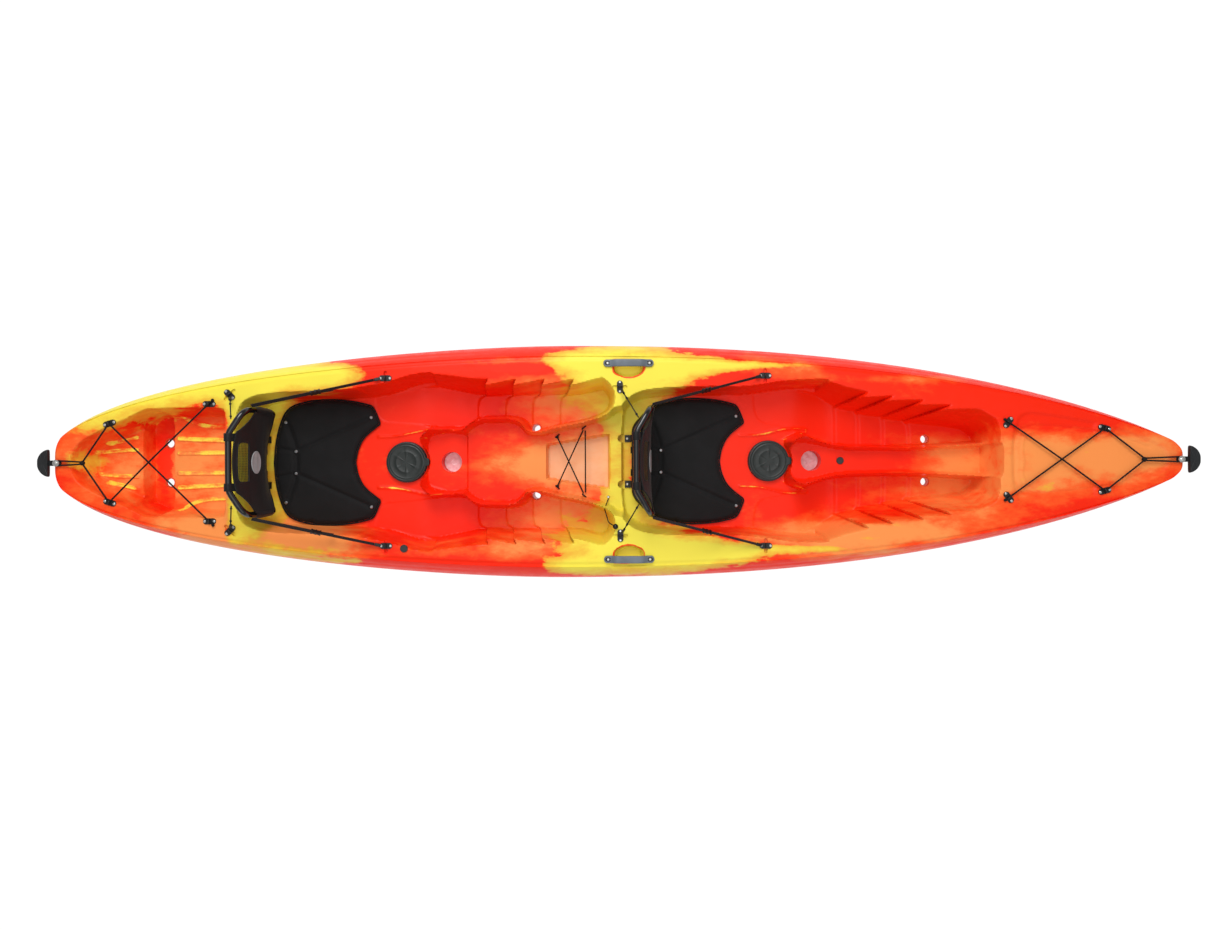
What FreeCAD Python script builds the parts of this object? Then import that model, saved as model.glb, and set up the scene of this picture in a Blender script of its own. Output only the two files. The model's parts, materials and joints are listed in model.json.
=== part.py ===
import FreeCAD, Part
import math
import os
import Sketcher

from FreeCAD import Placement, Rotation, Vector

doc = FreeCAD.newDocument("tandem_kayak")

# ---------------------------------------------------------------- driving dimensions (mm)
# X runs from stern to bow, Y to port and Z up. The keel's flat stands on Z = 0.
DIMENSIONS = {
    # moulded hull
    "hull_length": 4092, "hull_beam": 880, "hull_wall": 4.5, "keel_trim": 1, "widest_at": -200,
    "keel_rise": 200, "rocker_start": 700, "bilge_flat": 0.4,
    "rail_height": 180, "rail_rise": 120, "deck_height": 285, "deck_rise": 60, "deck_flat": 0.88,
    # wells and floors
    "foot_floor": 95, "seat_floor": 130, "console_top": 150, "block_top": 165,
    "well_floor": 120, "tank_floor": 215, "channel_floor": 150, "grip_floor": 245,
    "scupper_radius": 15, "tank_scupper_x": -1721, "tank_scupper_y": 75,
    "mid_scupper_x": -319, "mid_scupper_y": 130, "bow_scupper_x": 1192, "bow_scupper_y": 83,
    "cup_radius": 39, "rear_cup_x": -641, "front_cup_x": 739,
    # round storage hatches
    "rear_hatch_x": -816, "front_hatch_x": 577, "hatch_bore": 62, "rim_radius": 79,
    "rim_flange": 4, "rim_collar": 5, "rim_height": 15, "lid_radius": 77, "lid_skirt": 4,
    "lid_thickness": 5, "lid_gap": 0.4, "tab_reach": 88, "tab_width": 26, "seal_radius": 1.6,
    # seats
    "rear_seat_x": -1356, "front_seat_x": 60, "rear_cushion_x": -1327, "front_cushion_x": 74,
    "cushion_thickness": 21, "cushion_edge": 5, "frame_tube": 22, "frame_wall": 1.5,
    "fold_height": 170, "frame_top": 470, "frame_wrap": 57, "frame_half_width": 188, "sling_thickness": 5,
    "clip_spacing": 176, "clip_width": 26, "clip_wall": 4, "clip_gap": 0.3, "clip_back": 36,
    "strap_cord": 5, "tie_cord": 4, "strap_spread": 4.5,
    "buckle_length": 34, "buckle_width": 18, "buckle_thickness": 8,
    "snap_length": 22, "snap_width": 12, "snap_thickness": 8, "rivet_radius": 6, "rivet_height": 3,
    # deck fittings
    "bungee_cord": 6, "well_cord": 5, "eye_base_length": 46, "eye_base_width": 22, "eye_base": 3,
    "eye_ring": 9, "eye_wire": 2.5, "screw_head": 5, "screw_head_height": 3, "screw_shank": 2.2,
    "screw_length": 12, "eye_screw_spacing": 34,
    "grip_length": 100, "grip_depth": 40, "grip_thickness": 18, "grip_face_x": 2059,
    "toggle_pivot_x": 2056, "toggle_strap_width": 20, "toggle_strap_thickness": 3,
    "tip_bolt_x": 2028, "washer_radius": 12, "bolt_radius": 6,
    "handle_x": 37, "handle_y": 361, "handle_length": 185, "handle_width": 27,
    "handle_thickness": 9, "handle_lift": 12, "handle_foot": 30, "handle_screw_spacing": 154,
    "plug_head": 14, "plug_shank": 9, "plug_bore": 9.4, "plug_depth": 12, "plug_cap": 5,
    "deck_plug_x": -791, "deck_plug_y": -318, "console_plug_x": 850,
    "hull_plug_x": -1972, "hull_plug_z": 262,
}

sheet = doc.addObject("Spreadsheet::Sheet", "dims")
for row, (alias, value) in enumerate(DIMENSIONS.items(), 1):
    sheet.set("A%d" % row, alias)
    sheet.set("B%d" % row, str(value))
    sheet.setAlias("B%d" % row, alias)
doc.recompute()

nodes = []


def size(alias):
    """A driving dimension's value, for shapes that no feature can bind."""
    return float(getattr(sheet, alias))


def keep(thing, name):
    """Name a finished sub-part, and list it for export."""
    thing.Label = name
    nodes.append(thing)
    return thing


def bind(thing, **expressions):
    """Bind properties to cells: bind(box, Length="dims.hull_wall")."""
    for prop, expression in expressions.items():
        thing.setExpression(prop.replace("__", "."), expression)
    return thing


def own_shape(name, shape):
    """A sub-part whose shape needs Part's own functions."""
    feature = doc.addObject("Part::Feature", name)
    feature.Shape = shape
    return feature


def group(name, shapes):
    """Separate solids that share one sub-part."""
    return keep(own_shape(name, Part.makeCompound(shapes)), name)


def mirrored(points):
    """The same points on the other side of the centre line."""
    return [(x, -y) for x, y in points]


# ---------------------------------------------------------------- hull lines
def half_beam(x):
    """Half the hull's width at a station: a full stern and a finer bow, both rounded at the tip."""
    if x < size("widest_at"):
        reach = (size("widest_at") - x) / (size("widest_at") + size("hull_length") / 2 + 16)
        heel = max(0.0, (-2014 - x) / 34)
        return size("hull_beam") / 2 * (1 - reach ** 1.74) ** 0.442 * math.sqrt(1 - heel ** 2)
    reach = (x - size("widest_at")) / (size("hull_length") / 2 - size("widest_at") + 59)
    nose = max(0.0, (x - 2010) / 60)
    return size("hull_beam") / 2 * (1 - reach ** 2.32) ** 0.745 * math.sqrt(1 - nose ** 2)


def keel(x):
    """The keel is flat amidships, and rises quickly towards both ends."""
    start = size("rocker_start")
    return size("keel_rise") * (max(0.0, abs(x) - start) / (size("hull_length") / 2 - start)) ** 6


def rail(x):
    """Height of the widest line of the hull."""
    return size("rail_height") + size("rail_rise") * abs(2 * x / size("hull_length")) ** 3


def deck(x):
    """Height of the deck, which sweeps up to both ends."""
    return size("deck_height") + size("deck_rise") * abs(2 * x / size("hull_length")) ** 2.5


def deck_slope(x):
    """How far the deck is tilted about Y at a station, in degrees."""
    return -math.degrees(math.atan((deck(x + 1) - deck(x - 1)) / 2))


def curve(*poles):
    edge = Part.BezierCurve()
    edge.setPoles([Vector(*pole) for pole in poles])
    return edge.toShape()


def section(x, skin=0.0):
    """One closed cross-section of the hull, moved inwards by the thickness of its skin.

    The outer one reaches below the ground by the trim, which hull_form() planes off flat."""
    end = size("hull_length") / 2 - skin
    at = max(-end, min(end, x))
    wide = half_beam(x) - skin
    low = keel(x) + (skin or -size("keel_trim"))
    middle = rail(x)
    top = deck(x) - skin
    shoulder = size("deck_flat") * half_beam(x) - skin
    flat = size("bilge_flat") * half_beam(x)
    edges = [Part.makeLine(Vector(at, -flat, low), Vector(at, flat, low)),
             Part.makeLine(Vector(at, shoulder, top), Vector(at, -shoulder, top))]
    for side in (1, -1):
        edges.append(curve((at, side * flat, low),
                           (at, side * (0.4 * flat + 0.6 * wide), low),
                           (at, side * wide, middle - 0.6 * (middle - low)),
                           (at, side * wide, middle)))
        edges.append(curve((at, side * wide, middle),
                           (at, side * wide, middle + 0.45 * (top - middle)),
                           (at, side * (0.75 * shoulder + 0.25 * wide), top - 0.1 * (top - middle)),
                           (at, side * shoulder, top)))
    return Part.Wire(Part.__sortEdges__(edges))


def hull_form(skin=0.0):
    """The hull's closed outer form, or the form of its hollow inside."""
    count = 26
    stations = [-size("hull_length") / 2 * math.cos(math.pi * i / count) for i in range(count + 1)]
    form = Part.makeLoft([section(x, skin) for x in stations], True, True)
    return form.cut(Part.makeBox(6000, 2000, 100, Vector(-3000, -1000, -100)))


def well(outline, floor, grow, both_sides=True):
    """A recess from its floor up through the deck. Grown by the wall, it is the wall's inside."""
    points = list(outline)
    if both_sides:
        points += mirrored(outline)[::-1]
    wire = Part.makePolygon([Vector(x, y, 0) for x, y in points + points[:1]])
    if grow:
        wire = wire.makeOffset2D(grow, 2)
    face = Part.Face(wire)
    face.translate(Vector(0, 0, floor - grow))
    return face.extrude(Vector(0, 0, 420 - floor + grow))


# Outlines of the recesses, on the port side unless they name both sides.
TANK_WELL = [(-1985, 30), (-1960, 75), (-1767, 172), (-1724, 200), (-1437, 200)]
TANK_CHANNEL = [(-1798, 160), (-1767, 172), (-1724, 200), (-1694, 200)]
REAR_SEAT = [(-1395, 195), (-1330, 240), (-940, 258), (-860, 275), (-700, 316)]
REAR_FOOT = [(-715, 112), (-715, 316), (-516, 324), (-200, 324), (-70, 312), (-24, 270), (-16, 215),
             (-40, 170), (-132, 142), (-250, 120), (-285, 106), (-350, 108), (-365, 140),
             (-400, 158), (-520, 158), (-580, 112)]
REAR_CONSOLE = [(-720, 112), (-580, 112), (-575, 116)]
REAR_BLOCK = [(-575, 116), (-520, 158), (-400, 158), (-365, 140), (-350, 108), (-285, 106),
              (-250, 120), (-132, 142), (-40, 170), (-12, 194), (16, 194)]
MID_WELL = [(-290, 76), (-20, 122)]
FRONT_SEAT = [(8, 193), (50, 232), (120, 258), (300, 264), (460, 262), (520, 268), (620, 285),
              (760, 288)]
FRONT_FOOT = [(745, 75), (745, 288), (938, 262), (1042, 252), (1148, 236), (1252, 215),
              (1320, 192), (1362, 150), (1378, 95), (1380, 44), (1142, 26), (1000, 28), (830, 42)]
FRONT_CONSOLE = [(740, 75), (830, 42), (1000, 28), (1142, 26), (1380, 44)]
FINGER_WELL = [(-22, 373), (-22, 330), (10, 310), (64, 310), (96, 330), (96, 373)]


def wells(grow):
    """Every recess in the deck as one solid."""
    found = [well(TANK_WELL, size("tank_floor"), grow),
             well(TANK_CHANNEL, size("channel_floor"), grow),
             well(REAR_SEAT, size("seat_floor"), grow),
             well(REAR_CONSOLE, size("console_top"), grow),
             well(REAR_BLOCK, size("block_top"), grow),
             well(MID_WELL, size("well_floor"), grow),
             well(FRONT_SEAT, size("seat_floor"), grow),
             well(FRONT_CONSOLE, size("console_top"), grow)]
    for outline, floor in ((REAR_FOOT, "foot_floor"), (FRONT_FOOT, "foot_floor"),
                           (FINGER_WELL, "grip_floor")):
        found.append(well(outline, size(floor), grow, both_sides=False))
        found.append(well(mirrored(outline), size(floor), grow, both_sides=False))
    for cup in ("rear_cup_x", "front_cup_x"):
        base = Vector(size(cup), 0, size("foot_floor") - grow)
        found.append(Part.makeCylinder(size("cup_radius") + grow, 200, base))
    return found[0].multiFuse(found[1:])


SCUPPERS = [("tank_scupper_x", "tank_scupper_y"), ("mid_scupper_x", "mid_scupper_y"),
            ("bow_scupper_x", "bow_scupper_y")]


def hull_plug_pose():
    """The side drain plug's seat: out of the hull's port quarter, level, along its normal."""
    x = size("hull_plug_x")
    along = Vector(2, half_beam(x + 1) - half_beam(x - 1), 0).normalize()
    normal = Vector(-along.y, along.x, 0)
    return Vector(x, half_beam(x) - 1.2, size("hull_plug_z")), normal


def hull_shape():
    """One hollow moulding: outer form, less its recesses, less the hollow between the skins."""
    outer = hull_form()
    cut_wells = wells(0)
    hollow = hull_form(size("hull_wall")).cut(wells(size("hull_wall")))
    shell = outer.cut(cut_wells).cut(hollow)
    radius = size("scupper_radius")
    pipes = []
    holes = []
    for x_name, y_name in SCUPPERS:
        for side in (1, -1):
            foot = Vector(size(x_name), side * size(y_name), -5)
            pipe = Part.makeCylinder(radius + size("hull_wall"), size("deck_height"), foot)
            pipes.append(pipe.common(outer).cut(cut_wells))
            holes.append(Part.makeCylinder(radius, 400, foot))
    for hatch in ("rear_hatch_x", "front_hatch_x"):
        holes.append(Part.makeCylinder(size("hatch_bore"), 40, Vector(size(hatch), 0, 110)))
    bore = size("plug_bore")
    holes.append(Part.makeCylinder(bore, 40, Vector(size("deck_plug_x"), size("deck_plug_y"), 260)))
    holes.append(Part.makeCylinder(bore, 30, Vector(size("console_plug_x"), 0, 130)))
    place, normal = hull_plug_pose()
    holes.append(Part.makeCylinder(bore, 60, place - normal * 40, normal))
    return shell.multiFuse(pipes).cut(holes[0].multiFuse(holes[1:])).removeSplitter()


keep(own_shape("hull_moulding", hull_shape()), "hull")


# ---------------------------------------------------------------- turned and pressed bodies
def plane(body, role):
    return next(item for item in body.Origin.OriginFeatures if item.Role == role)


def profile(body, role, corners, name):
    """A closed sketch whose corners are bound to expressions of the sheet's cells."""
    sketch = body.newObject("Sketcher::SketchObject", name)
    sketch.AttachmentSupport = (plane(body, role), "")
    sketch.MapMode = "FlatFace"
    count = len(corners)
    spots = [Vector(20 + 10 * i, 5 + (7 * i) % 13, 0) for i in range(count)]
    for i in range(count):
        sketch.addGeometry(Part.LineSegment(spots[i], spots[(i + 1) % count]))
    for i in range(count):
        sketch.addConstraint(Sketcher.Constraint("Coincident", i, 2, (i + 1) % count, 1))
    for i, (across, up) in enumerate(corners):
        for kind, expression, now in (("DistanceX", across, spots[i].x), ("DistanceY", up, spots[i].y)):
            number = sketch.addConstraint(Sketcher.Constraint(kind, -1, 1, i, 1, now))
            sketch.setExpression("Constraints[%d]" % number, expression)
    return sketch


def turned(name, corners):
    """A body turned about its own Z axis from a half profile."""
    body = doc.addObject("PartDesign::Body", name)
    sketch = profile(body, "XZ_Plane", corners, name + "_profile")
    turn = body.newObject("PartDesign::Revolution", name + "_turn")
    turn.Profile = sketch
    turn.ReferenceAxis = (sketch, ["V_Axis"])
    turn.Angle = 360
    return body


def pressed(name, corners, height, round_edges=0.0, role="XY_Plane"):
    """A body pressed from an outline, to both sides of its plane, with its edges rounded."""
    body = doc.addObject("PartDesign::Body", name)
    pad = body.newObject("PartDesign::Pad", name + "_pad")
    pad.Profile = profile(body, role, corners, name + "_profile")
    pad.Midplane = True
    pad.setExpression("Length", height)
    if round_edges:
        doc.recompute()
        fillet = body.newObject("PartDesign::Fillet", name + "_edges")
        fillet.Base = (pad, [""])
        fillet.UseAllEdges = True
        fillet.Radius = round_edges
    return body


def stand(thing, x, y, z):
    """Stand a sub-part at a place given by expressions."""
    return bind(thing, Placement__Base__x=x, Placement__Base__y=y, Placement__Base__z=z)


def on_deck(x, y, lift=0.0, turn=0.0):
    """A place on the deck, tilted as the deck is, and turned about its normal."""
    tilt = Rotation(Vector(0, 1, 0), deck_slope(x))
    return Placement(Vector(x, y, deck(x) + lift), tilt * Rotation(Vector(0, 0, 1), turn))


def copies(shape, placements):
    """Copies of a piece modelled at its own origin."""
    made = []
    for placement in placements:
        copy = shape.copy()
        copy.Placement = placement.multiply(copy.Placement)
        made.append(copy)
    return made


def level(x, y, z, turn=0.0):
    return Placement(Vector(x, y, z), Rotation(Vector(0, 0, 1), turn))


# One pan-head screw, whose head stands on Z = 0.
screw = turned("screw_pattern", [
    ("0", "dims.screw_head_height"), ("dims.screw_head * 0.6", "dims.screw_head_height"),
    ("dims.screw_head", "dims.screw_head_height * 0.5"), ("dims.screw_head", "0"),
    ("dims.screw_shank", "0"), ("dims.screw_shank", "-dims.screw_length"),
    ("0", "-dims.screw_length")])
rivet = turned("rivet_pattern", [
    ("0", "0"), ("dims.rivet_radius", "0"), ("dims.rivet_radius", "dims.rivet_height * 0.4"),
    ("dims.rivet_radius * 0.6", "dims.rivet_height"), ("0", "dims.rivet_height")])
doc.recompute()
screw_shape = screw.Shape
rivet_shape = rivet.Shape


# ---------------------------------------------------------------- cords
def route(points, bend, closed=False):
    """Straight runs joined by tangent arcs of one radius, or less where a run is too short."""
    spots = [Vector(*point) for point in points]
    count = len(spots)
    corners = range(count) if closed else range(1, count - 1)
    arcs = {}
    for i in corners:
        here = spots[i]
        back = spots[i - 1] - here
        onward = spots[(i + 1) % count] - here
        half_turn = (math.pi - back.getAngle(onward)) / 2
        radius = min(bend, 0.45 * min(back.Length, onward.Length) / math.tan(half_turn))
        setback = radius * math.tan(half_turn)
        back.normalize()
        onward.normalize()
        inwards = (back + onward).normalize()
        deepest = here + inwards * (radius / math.cos(half_turn) - radius)
        arcs[i] = (here + back * setback, deepest, here + onward * setback)
    edges = []
    for i in range(count if closed else count - 1):
        after = (i + 1) % count
        start = arcs[i][2] if i in arcs else spots[i]
        end = arcs[after][0] if after in arcs else spots[after]
        edges.append(Part.makeLine(start, end))
        if after in arcs:
            edges.append(Part.Arc(*arcs[after]).toShape())
    return Part.Wire(edges)


def tube(points, radius, bend, closed=False):
    """A round cord or tube along a route. Its volume must be its section times its length."""
    path = route(points, bend, closed)
    first = path.Edges[0]
    start = first.valueAt(first.FirstParameter)
    ring = Part.Wire(Part.makeCircle(radius, start, first.tangentAt(first.FirstParameter)))
    solid = path.makePipeShell([ring], True, True)
    expected = math.pi * radius ** 2 * path.Length
    if abs(solid.Volume / expected - 1) > 0.01:
        raise ValueError("a tube lost its shape: %.3f of its volume" % (solid.Volume / expected))
    return solid


def along(start, end, share):
    """A point part of the way from one place to another."""
    return tuple(a + (b - a) * share for a, b in zip(start, end))


# ---------------------------------------------------------------- hatches
SCREWS_PER_RIM = 6
for place_name in ("rear", "front"):
    centre = "dims.%s_hatch_x" % place_name
    rim = turned(place_name + "_rim_body", [
        ("dims.hatch_bore", "0"), ("dims.rim_radius", "0"), ("dims.rim_radius", "dims.rim_flange"),
        ("dims.hatch_bore + dims.rim_collar", "dims.rim_flange"),
        ("dims.hatch_bore + dims.rim_collar", "dims.rim_height"),
        ("dims.hatch_bore", "dims.rim_height")])
    keep(stand(rim, centre, "0", "dims.seat_floor"), place_name + "_hatch_rim")

    under = "dims.rim_height + dims.lid_gap"
    plate = turned(place_name + "_lid_plate", [
        ("0", under), ("dims.lid_radius - dims.lid_skirt", under),
        ("dims.lid_radius - dims.lid_skirt", "dims.rim_flange * 2"),
        ("dims.lid_radius", "dims.rim_flange * 2"),
        ("dims.lid_radius", under + " + dims.lid_thickness - 2"),
        ("dims.lid_radius - 2", under + " + dims.lid_thickness"),
        ("0", under + " + dims.lid_thickness")])
    tab = doc.addObject("Part::Box", place_name + "_lid_tab")
    bind(tab, Length="dims.tab_reach - dims.lid_radius + dims.lid_skirt", Width="dims.tab_width",
         Height="dims.lid_thickness - 1")
    stand(tab, "dims.lid_radius - dims.lid_skirt", "-dims.tab_width / 2", under)
    lid = doc.addObject("Part::MultiFuse", place_name + "_lid_fused")
    lid.Shapes = [plate, tab]
    keep(stand(lid, centre, "0", "dims.seat_floor"), place_name + "_hatch_lid")

    inside = "dims.hatch_bore + dims.rim_collar + 0.3"
    outside = "dims.lid_radius - dims.lid_skirt - 0.2"
    top = "dims.rim_height + 0.2"
    ring = turned(place_name + "_seal_body", [
        (inside, top + " - 2 * dims.seal_radius"), (outside, top + " - 2 * dims.seal_radius"),
        (outside, top), (inside, top)])
    keep(stand(ring, centre, "0", "dims.seat_floor"), place_name + "_hatch_seal")

    pitch = size("lid_radius") - size("screw_head") + 0.5
    spots = []
    for i in range(SCREWS_PER_RIM):
        angle = math.radians(30 + 360 * i / SCREWS_PER_RIM)
        spots.append(level(size(place_name + "_hatch_x") + pitch * math.cos(angle),
                           pitch * math.sin(angle), size("seat_floor") + size("rim_flange")))
    group(place_name + "_hatch_screws", copies(screw_shape, spots))


# ---------------------------------------------------------------- seats
def cushion_outline():
    """A scooped seat cushion from above, from its rear edge at X = 0 forward to its two tips."""
    rear = [(193, -244), (107, -232), (51, -209), (24, -154), (0, 0), (24, 154), (51, 209), (107, 232),
            (193, 244)]
    side = [(193, 244), (300, 237), (378, 219)]
    notch = [(411, 150), (345, 96), (314, 0), (345, -96), (411, -150)]
    edges = []
    for points in (rear, side, notch, mirrored(side)[::-1]):
        spline = Part.BSplineCurve()
        spline.interpolate([Vector(x, y, 0) for x, y in points])
        edges.append(spline.toShape())
    for side_sign in (1, -1):
        edges.append(Part.makeLine(Vector(378, side_sign * 219, 0), Vector(411, side_sign * 150, 0)))
    return Part.Wire(Part.__sortEdges__(edges))


RIVETS = [(88, 42), (49, 154), (377, 172)]
SIDES = (("port", 1), ("starboard", -1))
BUCKLE_SHARE = 0.48
HOOK_SHARE = 0.955
SIDE_EYE_REACH = {"rear": (499, 308), "front": (480, 313)}
TIE_EYE_REACH = {"rear": (-66, 248), "front": (-55, 274)}
TIE_EYE_TURN = {"rear": -45, "front": 90}
tube_radius = size("frame_tube") / 2
eye_places = []


def seat_frame(x):
    """The bent tube of a seatback: straight above and below, with both sides swept forward."""
    wrap = size("frame_wrap")
    wide = size("frame_half_width")
    low = size("fold_height")
    high = size("frame_top")
    port = [(0, 100, high), (wrap - 8, wide - 4, high - 15), (wrap, wide, high - 130),
            (wrap - 6, wide - 4, low + 22), (0, 130, low)]
    loop = [(x + a, b, c) for a, b, c in port + mirrored_points(port)[::-1]]
    bend = 60
    bore = tube(loop, tube_radius - size("frame_wall"), bend, closed=True)
    return tube(loop, tube_radius, bend, closed=True).cut(bore)


def mirrored_points(points):
    return [(x, -y, z) for x, y, z in points]


def seat_sling(x):
    """The back panel: a sheet bent round the sitter, with four sleeves over the frame's tubes."""
    low = size("fold_height")
    high = size("frame_top")
    thick = size("sling_thickness")
    half = size("frame_half_width") - tube_radius - 5
    side = x + size("frame_wrap") + 3
    middle = x + tube_radius + thick
    edges = []
    for offset in (-thick / 2, thick / 2):
        edges.append(Part.Arc(Vector(side + offset, half, 0), Vector(middle + offset, 0, 0),
                              Vector(side + offset, -half, 0)).toShape())
    for y in (half, -half):
        edges.append(Part.makeLine(Vector(side - thick / 2, y, 0), Vector(side + thick / 2, y, 0)))
    face = Part.Face(Part.Wire(Part.__sortEdges__(edges)))
    face.translate(Vector(0, 0, low + 20))
    pieces = []
    tubes = []
    for z, centres in ((high, (-86, 86)), (low, (-43, 43))):
        tubes.append(Part.makeCylinder(tube_radius + 0.2, 240, Vector(x, -120, z), Vector(0, 1, 0)))
        for y in centres:
            start = Vector(x, y - 12, z)
            pieces.append(Part.makeCylinder(tube_radius + 3, 24, start, Vector(0, 1, 0)))
            foot = z - 24 if z == high else z
            pieces.append(Part.makeBox(thick + 12, 24, 24, Vector(x + tube_radius - 2, y - 12, foot)))
    panel = face.extrude(Vector(0, 0, high - low - 38)).multiFuse(pieces)
    return panel.cut(tubes[0].fuse(tubes[1])).removeSplitter()


def seat_clip(x, y):
    """A saddle round the frame's lower tube, on a foot that is screwed to the seat floor behind it."""
    wide = size("clip_width")
    back = size("clip_back")
    outer = tube_radius + size("clip_gap") + size("clip_wall")
    floor = size("seat_floor")
    axis = Vector(0, 1, 0)
    drum = Part.makeCylinder(outer, wide, Vector(x, y - wide / 2, size("fold_height")), axis)
    stem = Part.makeBox(2 * outer - 8, wide, size("fold_height") - floor,
                        Vector(x - outer + 4, y - wide / 2, floor))
    foot = Part.makeBox(back + outer, wide, 6, Vector(x - back, y - wide / 2, floor))
    bore = Part.makeCylinder(tube_radius + size("clip_gap"), wide + 2,
                             Vector(x, y - wide / 2 - 1, size("fold_height")), axis)
    return drum.multiFuse([stem, foot]).cut(bore).removeSplitter()


def slab_corners(piece):
    """The corners of a rectangle as long and as wide as a piece, about its middle."""
    long = "dims.%s_length / 2" % piece
    wide = "dims.%s_width / 2" % piece
    return [("-" + long, "-" + wide), (long, "-" + wide), (long, wide), ("-" + long, wide)]


buckle = pressed("buckle_pattern", slab_corners("buckle"), "dims.buckle_thickness", 2.0)
snap = pressed("snap_pattern", slab_corners("snap"), "dims.snap_thickness", 2.5)
doc.recompute()


def aimed(shape, centre, towards):
    """A copy of a piece at a place on a strap, with its length along the strap."""
    heading = Vector(*towards) - Vector(*centre)
    copy = shape.copy()
    copy.Placement = Placement(Vector(*centre), Rotation(Vector(1, 0, 0), heading))
    return copy


def strap_ends(seat, side):
    """A seat strap's anchor on the frame's side, and its pad eye's ring on the deck ahead."""
    x = size(seat + "_seat_x")
    reach, out = SIDE_EYE_REACH[seat]
    anchor = (x + size("frame_wrap") + 2, side * (size("frame_half_width") + tube_radius + 1), 417)
    eye = (x + reach - 8, side * out, deck(x + reach) + 8)
    return anchor, eye


def tie_ends(seat, side):
    """A tie's anchor behind the frame's top corner, and its pad eye's ring on the deck behind."""
    x = size(seat + "_seat_x")
    reach, out = TIE_EYE_REACH[seat]
    anchor = (x + 8, side * 152, size("frame_top") - 4)
    eye = (x + reach + 5, side * (out - 9), deck(x + reach) + 9)
    return anchor, eye


for seat in ("rear", "front"):
    x = size(seat + "_seat_x")
    cushion = Part.Face(cushion_outline()).extrude(Vector(0, 0, size("cushion_thickness")))
    rims = [edge for edge in cushion.Edges if edge.BoundBox.ZMin > size("cushion_thickness") - 0.1]
    cushion = cushion.makeFillet(size("cushion_edge"), rims)
    corner = Vector(size(seat + "_cushion_x"), 0, size("seat_floor"))
    cushion.translate(corner)
    keep(own_shape(seat + "_cushion_foam", cushion), seat + "_seat_cushion")
    top = size("seat_floor") + size("cushion_thickness")
    spots = [level(corner.x + a, side * b, top) for a, b in RIVETS for _, side in SIDES]
    group(seat + "_cushion_rivets", copies(rivet_shape, spots))

    keep(own_shape(seat + "_frame_tube", seat_frame(x)), seat + "_seatback_frame")
    keep(own_shape(seat + "_sling_sheet", seat_sling(x)), seat + "_seatback_sling")
    ys = [side * size("clip_spacing") / 2 for _, side in SIDES]
    group(seat + "_seat_clips", [seat_clip(x, y) for y in ys])
    spots = [level(x - size("clip_back") + 9, y, size("seat_floor") + 6) for y in ys]
    group(seat + "_clip_screws", copies(screw_shape, spots))

    hooks = []
    tie_hooks = []
    for side_name, side in SIDES:
        anchor, eye = strap_ends(seat, side)
        run = math.dist(anchor, eye)
        buckle_at = along(anchor, eye, BUCKLE_SHARE)
        hook_at = along(anchor, eye, HOOK_SHARE)
        half_buckle = 0.52 * size("buckle_length") / run
        half_hook = 0.55 * size("snap_length") / run
        cords = []
        for shift in (-size("strap_spread"), size("strap_spread")):
            near = along(anchor, eye, 0.01)
            far = along(anchor, eye, BUCKLE_SHARE - half_buckle)
            near = (near[0], near[1], near[2] + shift)
            far = (far[0], far[1], far[2] + shift)
            cords.append(tube([near, far], size("tie_cord") / 2, 5))
        single = [along(anchor, eye, BUCKLE_SHARE + half_buckle),
                  along(anchor, eye, HOOK_SHARE - half_hook)]
        cords.append(tube(single, size("strap_cord") / 2, 5))
        group("%s_seat_%s_strap" % (seat, side_name), cords)
        keep(own_shape("%s_%s_buckle_body" % (seat, side_name), aimed(buckle.Shape, buckle_at, eye)),
             "%s_seat_%s_buckle" % (seat, side_name))
        hooks.append(aimed(snap.Shape, hook_at, eye))

        anchor, eye = tie_ends(seat, side)
        start = along(anchor, eye, 0.06)
        hook_at = along(anchor, eye, 0.9)
        cord_end = along(anchor, eye, 0.82)
        keep(own_shape("%s_%s_tie_cord" % (seat, side_name),
                       tube([start, cord_end], size("tie_cord") / 2, 5)),
             "%s_seat_%s_tie" % (seat, side_name))
        tie_hooks.append(aimed(snap.Shape, hook_at, eye))

        for (reach, out), turn in ((SIDE_EYE_REACH[seat], 0), (TIE_EYE_REACH[seat], TIE_EYE_TURN[seat])):
            eye_places.append((x + reach, side * out, side * turn))
    group(seat + "_strap_hooks", hooks)
    group(seat + "_tie_hooks", tie_hooks)


# ---------------------------------------------------------------- pad eyes and bungee cords
def pad_eye_shape():
    """An oval foot with a half ring across it, for a cord that runs along the foot."""
    long = size("eye_base_length")
    wide = size("eye_base_width")
    thick = size("eye_base")
    foot = Part.makeBox(long - wide, wide, thick, Vector(wide / 2 - long / 2, -wide / 2, 0))
    for side in (1, -1):
        foot = foot.fuse(Part.makeCylinder(wide / 2, thick, Vector(side * (long - wide) / 2, 0, 0)))
    ring = Part.makeTorus(size("eye_ring"), size("eye_wire"), Vector(0, 0, thick), Vector(1, 0, 0))
    upper = Part.makeBox(60, 60, 60, Vector(-30, -30, thick - 1))
    return foot.fuse(ring.common(upper)).removeSplitter()


pad_eye = own_shape("pad_eye_pattern", pad_eye_shape())
RING_LIFT = size("eye_base") + 3.2


def eyes(name, places):
    """A group of pad eyes, each with two screws that are listed for the screws' own group."""
    group(name, copies(pad_eye.Shape, [on_deck(x, y, 0.3, turn) for x, y, turn in places]))
    for x, y, turn in places:
        for share in (-0.5, 0.5):
            step = share * size("eye_screw_spacing")
            angle = math.radians(turn)
            spot = on_deck(x + step * math.cos(angle), y + step * math.sin(angle),
                           size("eye_base") + 0.3)
            eye_screws.append(spot)


def over(x, y, lift=RING_LIFT):
    return (x, y, deck(x) + lift)


def knot(place, radius):
    return Part.makeSphere(radius, Vector(*place))


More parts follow.
